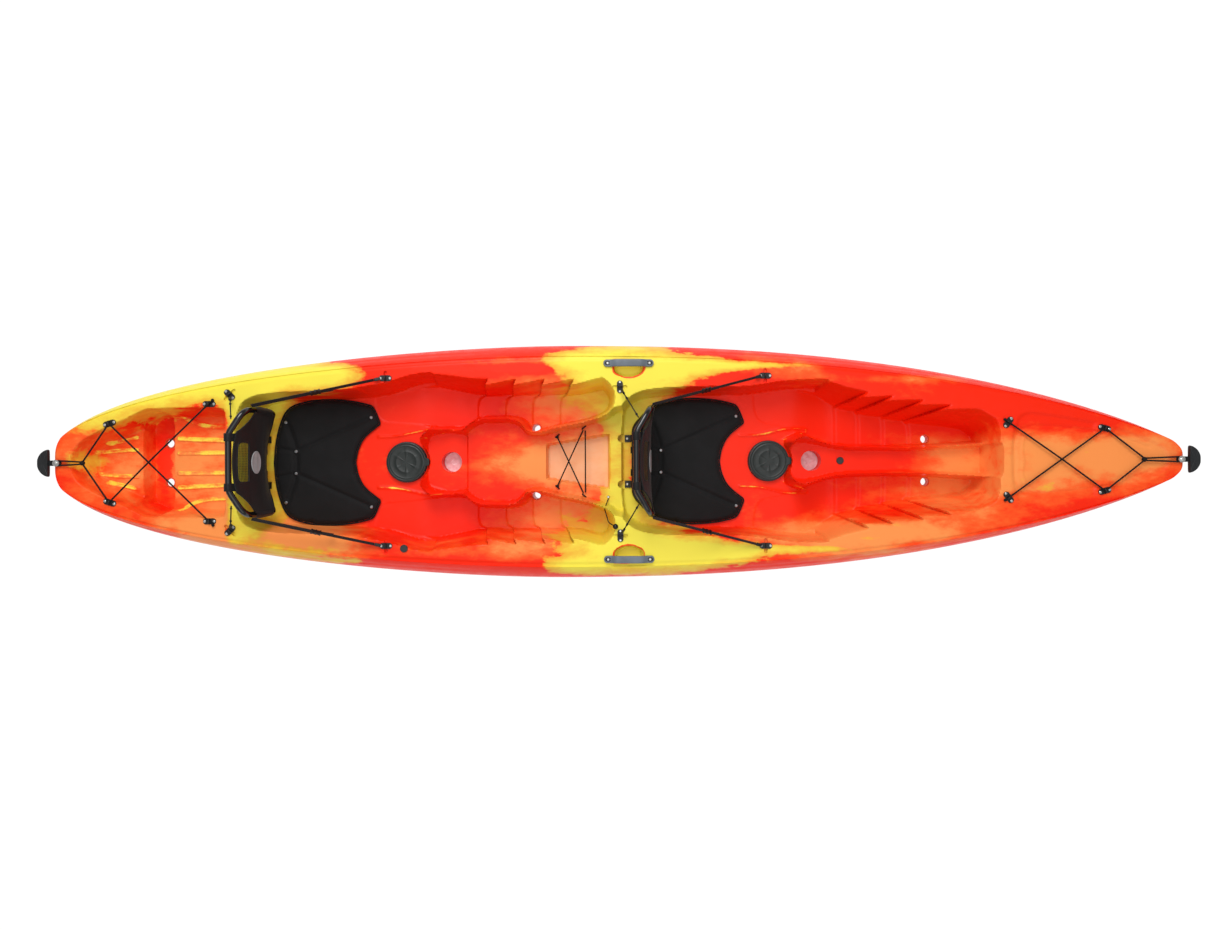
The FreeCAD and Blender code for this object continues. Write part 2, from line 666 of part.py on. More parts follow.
eye_screws = []
cord_radius = size("bungee_cord") / 2
eyes("seat_pad_eyes", eye_places)


def tip_bungee(name, end, knot_x, near_eye, far_eye):
    """A bungee looped on a tip bolt, knotted, led out to two eyes and crossed to two more."""
    bolt = end * size("tip_bolt_x")
    high = deck(bolt) + 10
    knot_at = (knot_x, 0, deck(knot_x) + 12)
    loop = [(knot_x + end * 6, 4, knot_at[2]), (bolt + end * 9.5, 9.5, high),
            (bolt + end * 9.5, -9.5, high), (knot_x + end * 6, -4, knot_at[2])]
    pieces = [knot(knot_at, 9)]
    crossing = (near_eye[0] + (far_eye[0] - near_eye[0]) * near_eye[1] / (near_eye[1] + far_eye[1]))
    for side, hump in ((1, 0.0), (-1, 2.4 * cord_radius)):
        near = over(near_eye[0], side * near_eye[1])
        far = over(far_eye[0], -side * far_eye[1])
        beyond = along(near, far, 1.04)
        points = [(knot_x - end * 2, side * 5, knot_at[2]), near]
        if hump:
            share = (near_eye[0] - crossing) / (near_eye[0] - far_eye[0])
            for step in (-0.08, 0.08):
                spot = along(near, far, share + step)
                points.append((spot[0], spot[1], spot[2] + hump))
        points.append(beyond)
        pieces.append(tube(points, cord_radius, 9).fuse(knot(beyond, 5.5)))
    cord = tube(loop, cord_radius, 8.6)
    return keep(own_shape(name + "_cord", cord.multiFuse(pieces)), name)


eyes("stern_pad_eyes", [(-1848, 143, 18), (-1848, -143, -18), (-1495, 214, 0), (-1495, -214, 0)])
eyes("bow_pad_eyes", [(1766, 114, -17), (1766, -114, 17), (1424, 137, 53), (1424, -137, -53)])
tip_bungee("stern_bungee", -1, -1937, (-1848, 143), (-1495, 214))
tip_bungee("bow_bungee", 1, 1899, (1766, 114), (1424, 137))


def well_bungee():
    """A cord from two rear eyes, crossed to two front ones, with one strand straight across."""
    lift = size("block_top") + 6.2
    radius = size("well_cord") / 2
    rear, front = WELL_EYES
    across = [(front[0] + 5, front[1] - 8, lift), (front[0] + 5, 8 - front[1], lift)]
    pieces = [tube(across, radius, 5)]
    for side, hump in ((1, 0.0), (-1, 2.6 * radius)):
        start = (rear[0], side * rear[1], lift)
        end = (front[0] - 3, -side * (front[1] - 6), lift)
        points = [start]
        if hump:
            for share in (0.34, 0.52):
                spot = along(start, end, share)
                points.append((spot[0], spot[1], spot[2] + hump))
        pieces.append(tube(points + [end], radius, 60).fuse(knot(start, 6)))
    return pieces


WELL_EYES = [(-234, 94), (-132, 126)]
half_ring = Part.makeTorus(size("eye_ring"), size("eye_wire"), Vector(0, 0, 0), Vector(1, 0, 0))
half_ring = half_ring.common(Part.makeBox(40, 40, 40, Vector(-20, -20, 0)))
spots = [level(x, side * (y + 4), size("block_top"), -side * 50)
         for x, y in WELL_EYES for _, side in SIDES]
group("well_eyes", copies(half_ring, spots))
group("well_bungee", well_bungee())

# Paddle keeper: a short cord from a screw on the well's rim to a ball hook on the deck.
keeper_foot = (-40, -136, size("block_top"))
keeper_ball = (-13, -240, deck(0) + 10.5)
eye_screws.append(level(*keeper_foot[:2], keeper_foot[2] + 4))
keep(own_shape("keeper_cord_tube", tube([
    (keeper_foot[0], keeper_foot[1] - 7, keeper_foot[2] + 5), (-54, -178, 222), (-38, -226, deck(0) + 8),
    (keeper_ball[0] - 7, keeper_ball[1] + 4, keeper_ball[2])], size("tie_cord") / 2, 40)),
    "paddle_keeper_cord")
keep(own_shape("keeper_ball", Part.makeSphere(10, Vector(*keeper_ball))), "paddle_keeper_ball")
group("pad_eye_screws", copies(screw_shape, eye_screws))


# ---------------------------------------------------------------- grips, handles and plugs
grip = pressed("grip_pattern", [
    ("0", "-dims.grip_length / 2"), ("dims.grip_depth * 0.4", "-dims.grip_length * 0.46"),
    ("dims.grip_depth * 0.8", "-dims.grip_length * 0.32"),
    ("dims.grip_depth", "-dims.grip_length * 0.12"),
    ("dims.grip_depth", "dims.grip_length * 0.12"), ("dims.grip_depth * 0.8", "dims.grip_length * 0.32"),
    ("dims.grip_depth * 0.4", "dims.grip_length * 0.46"), ("0", "dims.grip_length / 2")],
    "dims.grip_thickness", 5.0)
bolt = turned("tip_bolt_pattern", [
    ("0", "-14"), ("3", "-14"), ("3", "0"), ("dims.bolt_radius", "0"), ("dims.bolt_radius", "7"),
    ("dims.washer_radius", "7"), ("dims.washer_radius", "9.5"), ("dims.bolt_radius", "9.5"),
    ("dims.bolt_radius", "13"), ("dims.bolt_radius * 0.7", "14.5"), ("0", "14.5")])
doc.recompute()

strap_base = deck(size("hull_length") / 2) + 0.3
for end_name, end in (("stern", -1), ("bow", 1)):
    turn = 0 if end > 0 else 180
    strap_top = strap_base + size("toggle_strap_thickness")
    placed = copies(grip.Shape, [level(end * size("grip_face_x"), 0, strap_top - 1.5, turn)])[0]
    keep(own_shape(end_name + "_grip", placed), end_name + "_toggle_grip")
    strap = doc.addObject("Part::Box", end_name + "_strap_box")
    bind(strap, Length="dims.grip_face_x - 0.3 - dims.tip_bolt_x + 14", Width="dims.toggle_strap_width",
         Height="dims.toggle_strap_thickness")
    first = "dims.tip_bolt_x - 14" if end > 0 else "0.3 - dims.grip_face_x"
    stand(strap, first, "-dims.toggle_strap_width / 2", str(strap_base))
    keep(strap, end_name + "_toggle_strap")
    stand(keep(own_shape(end_name + "_bolt", bolt.Shape), end_name + "_tip_bolt"),
          "%d * dims.tip_bolt_x" % end, "0", str(strap_top))


def handle_shape():
    """A carry handle at its own centre: a flat bar bent up from two feet."""
    long = size("handle_length")
    wide = size("handle_width")
    thick = size("handle_thickness")
    lift = size("handle_lift")
    foot = size("handle_foot")
    half = long / 2
    side = [(-half, 0), (foot - half, 0), (foot + 10 - half, lift), (half - foot - 10, lift),
            (half - foot, 0), (half, 0), (half, thick * 0.7), (half - foot + 2, thick + 2),
            (half - foot - 14, lift + thick), (foot + 14 - half, lift + thick),
            (foot - 2 - half, thick + 2), (-half, thick * 0.7)]
    wire = Part.makePolygon([Vector(x, -wide / 2, z) for x, z in side + side[:1]])
    bar = Part.Face(wire).extrude(Vector(0, wide, 0))
    return bar.makeFillet(1.5, [edge for edge in bar.Edges if edge.Length > wide + 1])


handle = handle_shape()
handle_screws = []
for side_name, side in SIDES:
    spot = level(size("handle_x"), side * size("handle_y"), deck(size("handle_x")) + 0.2)
    keep(own_shape(side_name + "_handle_bar", copies(handle, [spot])[0]), side_name + "_carry_handle")
    for share in (-0.5, 0.5):
        reach = size("handle_x") + share * size("handle_screw_spacing")
        handle_screws.append(level(reach, side * size("handle_y"),
                                   deck(size("handle_x")) + size("handle_thickness") * 0.9))
group("carry_handle_screws", copies(screw_shape, handle_screws))

plug = turned("plug_pattern", [
    ("0", "-dims.plug_depth"), ("dims.plug_shank", "-dims.plug_depth"), ("dims.plug_shank", "0.3"),
    ("dims.plug_head", "0.3"), ("dims.plug_head", "dims.plug_cap - 1.5"),
    ("dims.plug_head - 1.5", "dims.plug_cap"), ("0", "dims.plug_cap")])
doc.recompute()
place, normal = hull_plug_pose()
plug_places = {
    "deck_plug": level(size("deck_plug_x"), size("deck_plug_y"), deck(size("deck_plug_x")) + 0.3),
    "console_plug": level(size("console_plug_x"), 0, size("console_top")),
    "hull_plug": Placement(place + normal * 2.5, Rotation(Vector(0, 0, 1), normal)),
}
for name, placement in plug_places.items():
    keep(own_shape(name + "_turned", copies(plug.Shape, [placement])[0]), name)

# ---------------------------------------------------------------- checks and export
doc.recompute()
for thing in doc.Objects:
    if "Invalid" in thing.State or "Error" in thing.State:
        raise RuntimeError("%s failed: %s" % (thing.Label, thing.State))
os.makedirs("parts", exist_ok=True)
for thing in nodes:
    if thing.Shape.isNull() or not thing.Shape.isValid():
        raise RuntimeError(thing.Label + " has no valid shape")
for thing in nodes:
    thing.Shape.exportStep("parts/%s.step" % thing.Label)
print(len(nodes), "sub-parts written")
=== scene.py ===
import contextlib
import json
import math

import bmesh
import bpy
import numpy as np
from mathutils import Matrix, Vector


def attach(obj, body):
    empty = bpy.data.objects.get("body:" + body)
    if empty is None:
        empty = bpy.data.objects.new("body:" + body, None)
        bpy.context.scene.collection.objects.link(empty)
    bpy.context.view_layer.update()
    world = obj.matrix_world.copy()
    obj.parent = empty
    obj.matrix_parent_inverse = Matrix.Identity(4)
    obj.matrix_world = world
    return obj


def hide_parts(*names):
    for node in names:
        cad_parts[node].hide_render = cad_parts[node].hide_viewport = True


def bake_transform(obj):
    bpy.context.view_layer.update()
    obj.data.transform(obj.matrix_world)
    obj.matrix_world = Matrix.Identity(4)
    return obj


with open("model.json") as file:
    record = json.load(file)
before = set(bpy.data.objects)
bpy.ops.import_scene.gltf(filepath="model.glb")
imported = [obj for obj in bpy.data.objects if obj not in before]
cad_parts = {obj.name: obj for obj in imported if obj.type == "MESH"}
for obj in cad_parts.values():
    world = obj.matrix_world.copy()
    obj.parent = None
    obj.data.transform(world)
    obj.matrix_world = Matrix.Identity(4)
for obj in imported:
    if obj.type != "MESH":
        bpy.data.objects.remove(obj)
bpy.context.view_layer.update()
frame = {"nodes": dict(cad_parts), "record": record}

MM = 0.001
SIDES = (("port", 1), ("starboard", -1))


# ------------------------------------------------------------ hull lines, in millimetres
LENGTH = 4092.0
HALF = LENGTH / 2
BEAM = 439.3


def half_beam(x):
    stern = np.clip((-200 - x) / 1862, 0, 1)
    bow = np.clip((x + 200) / 2305, 0, 1)
    nose = np.clip((x - 1998) / 52, 0, 1)
    aft = (1 - stern ** 1.74) ** 0.442 * np.sqrt(1 - np.clip((-2014 - x) / 34, 0, 1) ** 2)
    fore = (1 - bow ** 2.32) ** 0.745 * np.sqrt(1 - nose ** 2)
    return BEAM * np.where(x < -200, aft, fore)


def keel(x):
    return 0.3 + 200 * (np.clip(np.abs(x) - 700, 0, None) / (HALF - 700)) ** 6


def rail(x):
    return 180 + 120 * np.abs(x / HALF) ** 3


def deck(x):
    return 285 + 60 * np.abs(x / HALF) ** 2.5


def smooth(t):
    t = np.clip(t, 0, 1)
    return t * t * (3 - 2 * t)


def between(value, low, high, soft):
    """1 from low to high, easing to 0 over the soft distance outside."""
    return smooth((value - low) / soft + 1) * smooth((high - value) / soft + 1)


def soft_min(a, b, k):
    h = np.clip(0.5 + 0.5 * (b - a) / k, 0, 1)
    return b * (1 - h) + a * h - k * h * (1 - h)


def rounded(points, rounds=3):
    """An open line with its corners cut again and again, keeping both of its ends."""
    line = np.array(points, float)
    for _ in range(rounds):
        a = line[:-1] * 0.75 + line[1:] * 0.25
        b = line[:-1] * 0.25 + line[1:] * 0.75
        line = np.vstack([line[:1], np.stack([a, b], 1).reshape(-1, 2)[1:-1], line[-1:]])
    return line


def signed_distance(px, py, outline):
    """Distance to a closed outline, negative inside it."""
    best = np.full(px.shape, 1e12)
    inside = np.zeros(px.shape, bool)
    for (ax, ay), (bx, by) in zip(outline, np.roll(outline, -1, axis=0)):
        ex, ey = bx - ax, by - ay
        t = np.clip(((px - ax) * ex + (py - ay) * ey) / (ex * ex + ey * ey + 1e-9), 0, 1)
        best = np.minimum(best, (px - ax - ex * t) ** 2 + (py - ay - ey * t) ** 2)
        if ay != by:
            inside ^= ((ay > py) != (by > py)) & (px < (bx - ax) * (py - ay) / (by - ay) + ax)
    return np.where(inside, -1, 1) * np.sqrt(best)


def line_distance(px, py, points):
    """Distance to an open line, smoothed between its points."""
    line = rounded(points)
    best = np.full(px.shape, 1e12)
    for (ax, ay), (bx, by) in zip(line[:-1], line[1:]):
        ex, ey = bx - ax, by - ay
        t = np.clip(((px - ax) * ex + (py - ay) * ey) / (ex * ex + ey * ey + 1e-9), 0, 1)
        best = np.minimum(best, (px - ax - ex * t) ** 2 + (py - ay - ey * t) ** 2)
    return np.sqrt(best)


def both_sides(points):
    """Close a half outline beyond the centre line, so that only its own edges count."""
    line = rounded(points)
    return np.vstack([[line[0][0], -400], line, [line[-1][0], -400]])


def one_side(points):
    """Close an outline that lies wholly on one side, with its corners rounded."""
    loop = list(points) + [points[0]]
    line = rounded(loop, 3)
    return line[:-1]


# ------------------------------------------------------------ recesses in the deck
TANK_WELL = [(-1985, 0), (-1985, 30), (-1958, 80), (-1850, 138), (-1767, 172), (-1724, 200), (-1560, 203),
             (-1450, 203), (-1437, 190), (-1437, 0)]
TANK_CHANNEL = [(-1796, 0), (-1796, 150), (-1780, 168), (-1767, 172), (-1724, 196), (-1680, 196),
                (-1664, 170), (-1664, 0)]
REAR_SEAT = [(-1395, 0), (-1395, 195), (-1330, 244), (-1150, 252), (-940, 260), (-860, 277), (-770, 312),
             (-700, 320), (-690, 318), (-690, 140), (-735, 112), (-752, 78), (-733, 50), (-721, 25),
             (-718, 0)]
REAR_CONSOLE = [(-735, 0), (-735, 112), (-660, 116), (-580, 112), (-575, 90), (-575, 0)]
REAR_BLOCK = [(-590, 0), (-590, 112), (-556, 140), (-520, 158), (-400, 158), (-365, 140), (-345, 108),
              (-285, 106), (-250, 120), (-132, 142), (-40, 170), (-10, 194), (14, 196), (24, 190), (24, 0)]
MID_WELL = [(-290, 0), (-290, 72), (-280, 80), (-40, 120), (-20, 118), (-20, 0)]
FRONT_SEAT = [(8, 0), (8, 190), (50, 236), (120, 260), (300, 266), (460, 264), (520, 270), (620, 287),
              (760, 292), (770, 288), (770, 130), (712, 108), (641, 78), (658, 50), (671, 25), (674, 0)]
FRONT_CONSOLE = [(655, 0), (655, 76), (740, 72), (830, 46), (1000, 40), (1142, 42), (1300, 50), (1380, 56),
                 (1392, 50), (1392, 0)]
FINGER_WELL = [(-18, 374), (-22, 330), (10, 312), (37, 308), (64, 312), (96, 330), (92, 374)]
REAR_FOOT = [(-960, 345), (-516, 345), (-200, 345), (-110, 328), (-56, 306), (-20, 268), (-14, 225),
             (-34, 176), (-132, 144), (-250, 122), (-285, 108), (-350, 110), (-365, 142), (-400, 160),
             (-520, 160), (-560, 140), (-585, 114), (-700, 118), (-740, 122), (-800, 130), (-960, 140)]
FRONT_FOOT = [(500, 330), (745, 330), (938, 300), (1042, 285), (1148, 262), (1252, 232), (1320, 208),
              (1366, 170), (1392, 120), (1396, 64), (1392, 56), (1340, 52), (1142, 42), (1000, 39),
              (830, 46), (750, 68), (690, 92), (640, 108), (500, 140)]

# Step lines across the footwells: their x at the floor, where the wall starts, and at the deck.
REAR_STEPS = [(-546, (-516, 258), (-474, 310)), (-438, (-414, 257), (-366, 315)),
              (-333, (-306, 260), (-259, 315)), (-225, (-201, 262), (-149, 314))]
FRONT_STEPS = [(842, (837, 206), (938, 258)), (934, (920, 190), (1042, 249)),
               (1031, (1023, 168), (1148, 232)), (1131, (1110, 152), (1252, 213))]
REAR_WALL = ([-960, -860, -770, -700, -620, -540, -149, -80, -20],
             [280, 298, 326, 334, 326, 316, 315, 322, 322],
             [250, 262, 286, 290, 276, 260, 262, 276, 276])
FRONT_WALL = ([500, 620, 700, 770, 837, 938, 1042, 1148, 1252, 1330, 1390],
              [284, 300, 306, 302, 284, 262, 252, 234, 214, 196, 160],
              [250, 270, 270, 252, 212, 184, 164, 146, 132, 120, 80])
STEP_RISE = 9
FIN_DEPTH = 30


def step_line(side, floor_x, foot, tip):
    return np.interp(side, [foot[1] - 40, foot[1] - 12, foot[1], tip[1]],
                     [floor_x, floor_x + 0.25 * (foot[0] - floor_x), foot[0], tip[0]])


def footwell(x, side, outline, steps, wall, start, run, ease):
    """A footwell's height: a ramp down, steps across its floor, and braces up its outer wall."""
    top = deck(x) + 14
    phase = np.ones_like(x)
    for k, (floor_x, foot, tip) in enumerate(steps):
        here = step_line(side, floor_x, foot, tip)
        after = step_line(side, *steps[k + 1]) if k + 1 < len(steps) else here + 118
        share = np.clip((x - here) / (after - here), 0, 1)
        crisp = smooth((x - here + ease) / (2 * ease))
        phase = phase * (1 - crisp) + share * crisp
    floor = 95 + 35 * smooth((start + run - x) / run) + STEP_RISE * (1 - phase)
    upper = np.interp(x, wall[0], wall[1]) - FIN_DEPTH * (1 - phase)
    lower = np.interp(x, wall[0], wall[2]) - 6 * (1 - phase)
    climb = smooth((side - lower) / (upper - lower)) ** 0.85
    inner = smooth((signed_distance(x, side, outline) + 22) / 30)
    return floor + (top - floor) * np.maximum(climb, inner)


RECESSES = [
    (both_sides(TANK_WELL), 215, 8, 34), (both_sides(TANK_CHANNEL), 150, 6, 18),
    (both_sides(REAR_SEAT), 130, 14, 12), (both_sides(REAR_CONSOLE), 150, 22, 6),
    (both_sides(REAR_BLOCK), 165, 12, 10), (both_sides(MID_WELL), 120, 4, 22),
    (both_sides(FRONT_SEAT), 130, 14, 12), (both_sides(FRONT_CONSOLE), 150, 22, 6),
    (one_side(FINGER_WELL), 246, 4, 12)]

# Raised ridges: points, half width, height and how much painted yellow highlight they get.
HATCH_DAMS = [(-816, 0), (577, 0)]
RIDGES = []
for hatch_x, _ in HATCH_DAMS:
    RIDGES.append(([(hatch_x - 110, 98), (hatch_x - 40, 99), (hatch_x + 25, 114), (hatch_x + 81, 127),
                    (hatch_x + 150, 121)], 5, 5, 0.5))
    RIDGES.append(([(hatch_x + 58, 80), (hatch_x + 84, 92), (hatch_x + 150, 112)], 4, 4, 0.5))
RIDGES.append(([(1452, 0), (1448, 60), (1462, 104), (1500, 124), (1600, 122), (1790, 96), (1925, 44)], 6,
               -2.5, 0.0))
RIDGES.append(([(1480, 0), (1474, 50), (1486, 86), (1510, 102)], 5, 2.0, 0.2))
TANK_RIBS = [([(-1652, 38), (-1468, 38)], 9), ([(-1652, 92), (-1580, 88), (-1468, 84)], 9),
             ([(-1650, 182), (-1600, 150), (-1540, 136), (-1468, 134)], 8),
             ([(-1950, 40), (-1880, 48), (-1812, 50)], 8), ([(-1912, 72), (-1860, 84), (-1812, 96)], 8)]


BOW_PANEL = [(1436, 0), (1438, 90), (1470, 176), (1560, 168), (1760, 132), (1900, 84), (1985, 40), (1992, 0)]


def eye_clearance(x, side):
    """Distance from the bow's pad eyes, which stand on the deck's own level."""
    near = np.hypot(x - 1424, side - 137)
    return np.minimum(np.minimum(near, np.hypot(x - 1766, side - 114)), np.hypot(x - 2028, side) + 6)


def deck_surface(x, y):
    """The deck's height, and how much painted yellow highlight each point gets on the raised ridges and ribs.
    """
    side = np.abs(y)
    top = deck(x)
    z = top.copy()
    for outline, floor, out, inn in RECESSES:
        low, high = outline.min(0), outline.max(0)
        near = (x > low[0] - out) & (x < high[0] + out) & (side < high[1] + out)
        d = signed_distance(x[near], side[near], outline)
        cut = floor + (top[near] + 14 - floor) * smooth((d + inn) / (out + inn))
        z[near] = soft_min(z[near], cut, 8)
    for outline, steps, wall, start, run, ease in (
            (one_side(REAR_FOOT), REAR_STEPS, REAR_WALL, -790, 200, 5),
            (one_side(FRONT_FOOT), FRONT_STEPS, FRONT_WALL, 660, 160, 9)):
        low, high = outline.min(0), outline.max(0)
        near = (x > low[0] - 10) & (x < high[0] + 10) & (side < high[1] + 10)
        well = footwell(x[near], side[near], outline, steps, wall, start, run, ease)
        z[near] = soft_min(z[near], well, 7)
    share = side / np.maximum(half_beam(x), 1)
    band = smooth((share - 0.845) / 0.022) * between(x, -1900, 1900, 120)
    z -= 5 * band * smooth((z - top + 12) / 8)
    panel = signed_distance(x, side, both_sides(BOW_PANEL))
    z -= 5 * smooth((6 - panel) / 16) * smooth((np.abs(eye_clearance(x, side)) - 26) / 14)
    # Painted highlight: the raised ridges and the tank ribs get a yellow highlight along their crests.
    ridge_highlight = np.zeros_like(x)
    for points, half_width, height, highlight_and_swirl in RIDGES:
        line = np.array(points)
        near = (x > line[:, 0].min() - 30) & (x < line[:, 0].max() + 30)
        shape = np.exp(-(line_distance(x[near], side[near], points) / half_width) ** 2)
        z[near] += height * shape
        ridge_highlight[near] = np.maximum(ridge_highlight[near], highlight_and_swirl * shape)
    for points, half_width in TANK_RIBS:
        line = np.array(points)
        near = (x > line[:, 0].min() - 30) & (x < line[:, 0].max() + 30) & (z < 240)
        d = line_distance(x[near], side[near], points)
        shape = smooth((half_width + 3 - d) / 5)
        z[near] += 5 * shape - 2 * smooth((half_width - 4 - d) / 4)
        ridge_highlight[near] = np.maximum(ridge_highlight[near], 0.55 * shape)
    return z, ridge_highlight


# ------------------------------------------------------------ the hull's mesh
TIP_STEPS = np.array([0.0, 0.6, 2.2, 4.8, 8.0, 12.0])


def stations():
    middle = np.arange(16 - HALF, HALF - 15.9, 4.0)
    return np.concatenate([TIP_STEPS - HALF, middle, HALF - TIP_STEPS[::-1]])


def bezier(poles, t):
    a, b, c, d = poles
    s = 1 - t
    return s ** 3 * a + 3 * s * s * t * b + 3 * s * t * t * c + t ** 3 * d


ACROSS = 176
UPPER = 18
LOWER = 26
UNDER = 26


def hull_points():
    xs = stations()
    wide, low, middle, top = half_beam(xs), keel(xs), rail(xs), deck(xs)
    shoulder, flat = 0.88 * wide, 0.4 * wide
    column = xs[:, None]
    across = np.linspace(1, -1, ACROSS + 1)[None, :]
    x = np.broadcast_to(column, (len(xs), ACROSS + 1)).copy()
    y = shoulder[:, None] * across
    z, ridge_highlight = deck_surface(x, y)
    parts = [(x, y, z, ridge_highlight)]

    def side_rows(sign, t_upper, t_lower):
        rows = []
        for t, poles in ((t_upper, "upper"), (t_lower, "lower")):
            t = t[None, :]
            if poles == "upper":
                py = bezier([p[:, None] for p in (shoulder, 0.75 * shoulder + 0.25 * wide, wide, wide)], t)
                pz = bezier([p[:, None] for p in (top, top - 0.1 * (top - middle),
                                                  middle + 0.45 * (top - middle), middle)], t)
                groove = (between(column, 500, 1900, 300) + between(column, -1900, -700, 300))
                lines = np.exp(-((t - 0.42) / 0.05) ** 2) + 0.8 * np.exp(-((t - 0.68) / 0.045) ** 2)
                ledge = between(column, -26, 100, 6) * between(t, 0.16, 0.5, 0.1)
                rib = between(column, 33, 41, 4) * between(t, 0.1, 0.62, 0.1)
                push = -1.6 * groove * lines + 3.0 * ledge + 2.0 * rib
                py = py + push * 0.7
                pz = pz + push * 0.7
            else:
                py = bezier([p[:, None] for p in (wide, wide, 0.4 * flat + 0.6 * wide, flat)], t)
                pz = bezier([p[:, None] for p in (middle, middle - 0.6 * (middle - low), low, low)], t)
                strake = np.exp(-((t - 0.62) / 0.05) ** 2) * between(column, -1500, 1500, 250)
                rub = np.exp(-((t - 0.06) / 0.035) ** 2) * between(column, -1850, 1850, 120)
                py = py - 4 * strake - 2.0 * rub
                pz = pz + 3 * strake
            rows.append((np.broadcast_to(column, py.shape).copy(), sign * py, pz, np.zeros_like(py)))
        return rows

    t_upper = np.linspace(0, 1, UPPER + 1)[1:]
    t_lower = np.linspace(0, 1, LOWER + 1)[1:]
    parts += side_rows(-1, t_upper, t_lower)
    across = np.linspace(-1, 1, UNDER + 1)[None, 1:]
    y = flat[:, None] * across
    tunnel = np.exp(-((np.abs(across) - 0.52) / 0.2) ** 2) * between(column, -1250, 1250, 350)
    x = np.broadcast_to(column, y.shape).copy()
    parts.append((x, y, low[:, None] + 16 * tunnel, np.zeros_like(y)))
    down = side_rows(1, t_upper, t_lower)
    for rows in reversed(down):
        parts.append(tuple(a[:, ::-1] for a in rows))
    x, y, z, ridge_highlight = (np.hstack([p[i] for p in parts]) for i in range(4))
    # the port side's rows start at the bottom's last point and end at the deck's first one
    x, y, z, ridge_highlight = (drop_repeats(a) for a in (x, y, z, ridge_highlight))
    round_tips(xs, y, z)
    return x, y, z, ridge_highlight


def drop_repeats(rows):
    """The port side's lower rows repeat the bottom's last point and the rail's: leave them out."""
    start = (ACROSS + 1) + UPPER + LOWER + UNDER
    keep = np.ones(rows.shape[1], bool)
    keep[start] = False
    return rows[:, keep]


def round_tips(xs, y, z):
    """Draw the last stations in towards their own middle, so that both ends are round."""
    for i, at in enumerate(xs):
        depth = HALF - abs(at)
        if depth < 16:
            inset = 16 - math.sqrt(16 ** 2 - (16 - depth) ** 2)
            middle = (z[i].max() + z[i].min()) / 2
            tall = (z[i].max() - z[i].min()) / 2
            wide = y[i].max()
            y[i] *= (wide - inset) / wide
            z[i] = middle + (z[i] - middle) * (tall - inset) / tall


def grid_mesh(name, x, y, z):
    """A closed mesh from rings of points, one ring per station, fanned shut at both ends."""
    rings, count = x.shape
    points = np.stack([x, y, z], -1).reshape(-1, 3) * MM
    ends = np.array([points[:count].mean(0), points[-count:].mean(0)])
    points = np.vstack([points, ends])
    index = np.arange(rings * count).reshape(rings, count)
    a, b = index[:-1], index[1:]
    quads = np.stack([a, np.roll(a, -1, 1), np.roll(b, -1, 1), b], -1).reshape(-1, 4)
    first, last = rings * count, rings * count + 1
    ring = index[0]
    start = np.stack([np.roll(ring, -1), ring, np.full(count, first)], -1)
    ring = index[-1]
    finish = np.stack([ring, np.roll(ring, -1), np.full(count, last)], -1)
    mesh = bpy.data.meshes.new(name)
    faces = [tuple(f) for f in quads.tolist()] + [tuple(f) for f in np.vstack([start, finish]).tolist()]
    mesh.from_pydata(points.tolist(), [], faces)
    mesh.update()
    return mesh


@contextlib.contextmanager
def editing(mesh):
    """Change a mesh, or fill a new one, through a bmesh."""
    bm = bmesh.new()
    bm.from_mesh(mesh)
    yield bm
    bm.to_mesh(mesh)
    bm.free()


def new_object(name, mesh):
    thing = bpy.data.objects.new(name, mesh)
    bpy.context.collection.objects.link(thing)
    return thing


def shade(thing, angle=35.0):
    thing.data.polygons.foreach_set("use_smooth", [True] * len(thing.data.polygons))
    thing.data.set_sharp_from_angle(angle=math.radians(angle))


def coords(mesh):
    flat = np.empty(len(mesh.vertices) * 3, np.float32)
    mesh.vertices.foreach_get("co", flat)
    return flat.reshape(-1, 3).astype(float) / MM


def cylinder_cutter(bm, centre, radius, low, high, axis=None, sides=48):
    """Add one cylinder to a cutter mesh, from low to high along its axis."""
    heading = Vector(axis) if axis else Vector((0, 0, 1))
    turn = heading.to_track_quat("Z", "Y").to_matrix().to_4x4()
    place = Matrix.Translation(Vector(centre)) @ turn @ Matrix.Translation((0, 0, (low + high) / 2))
    bmesh.ops.create_cone(bm, cap_ends=True, segments=sides, radius1=radius, radius2=radius,
                          depth=high - low, matrix=Matrix.Scale(MM, 4) @ place)


SCUPPERS = [(-1721, 75), (-319, 130), (1192, 83)]
# The underside is moulded up round the end scuppers, so that their tubes are short: x, y, length, height.
POCKETS = [(-1750, 75, 160, 142), (1210, 83, 100, 66)]
CUPS = (-641, 739)
HATCHES = (-816, 577)
SEATS = {"rear": -1356, "front": 60}
# Pad eyes beside the seats stand across a moulded recess: x, y and how far the eye is turned.
CLIP_SLOTS = ((27, 62), (-1370, 44))
CROSSES = [(-857, 308, 0), (540, 313, 0), (-1422, 248, -45), (5, 274, 90)]


def slot_cutter(bm, centre, long, wide, deep, turn):
    """Add one round-ended slot to a cutter mesh."""
    half = (long - wide) / 2
    rim = []
    for end in (1, -1):
        for k in range(9):
            angle = math.radians(-90 + 22.5 * k + (0 if end > 0 else 180))
            rim.append((end * half + wide / 2 * math.cos(angle), wide / 2 * math.sin(angle)))
    spin = Matrix.Rotation(turn, 4, "Z")
    rings = []
    for z in (-deep, deep):
        rings.append([bm.verts.new((spin @ Vector((x, y, 0)) + Vector(centre) + Vector((0, 0, z))) * MM)
                      for x, y in rim])
    count = len(rim)
    bm.faces.new(rings[0][::-1])
    bm.faces.new(rings[1])
    for k in range(count):
        after = (k + 1) % count
        bm.faces.new((rings[0][k], rings[0][after], rings[1][after], rings[1][k]))


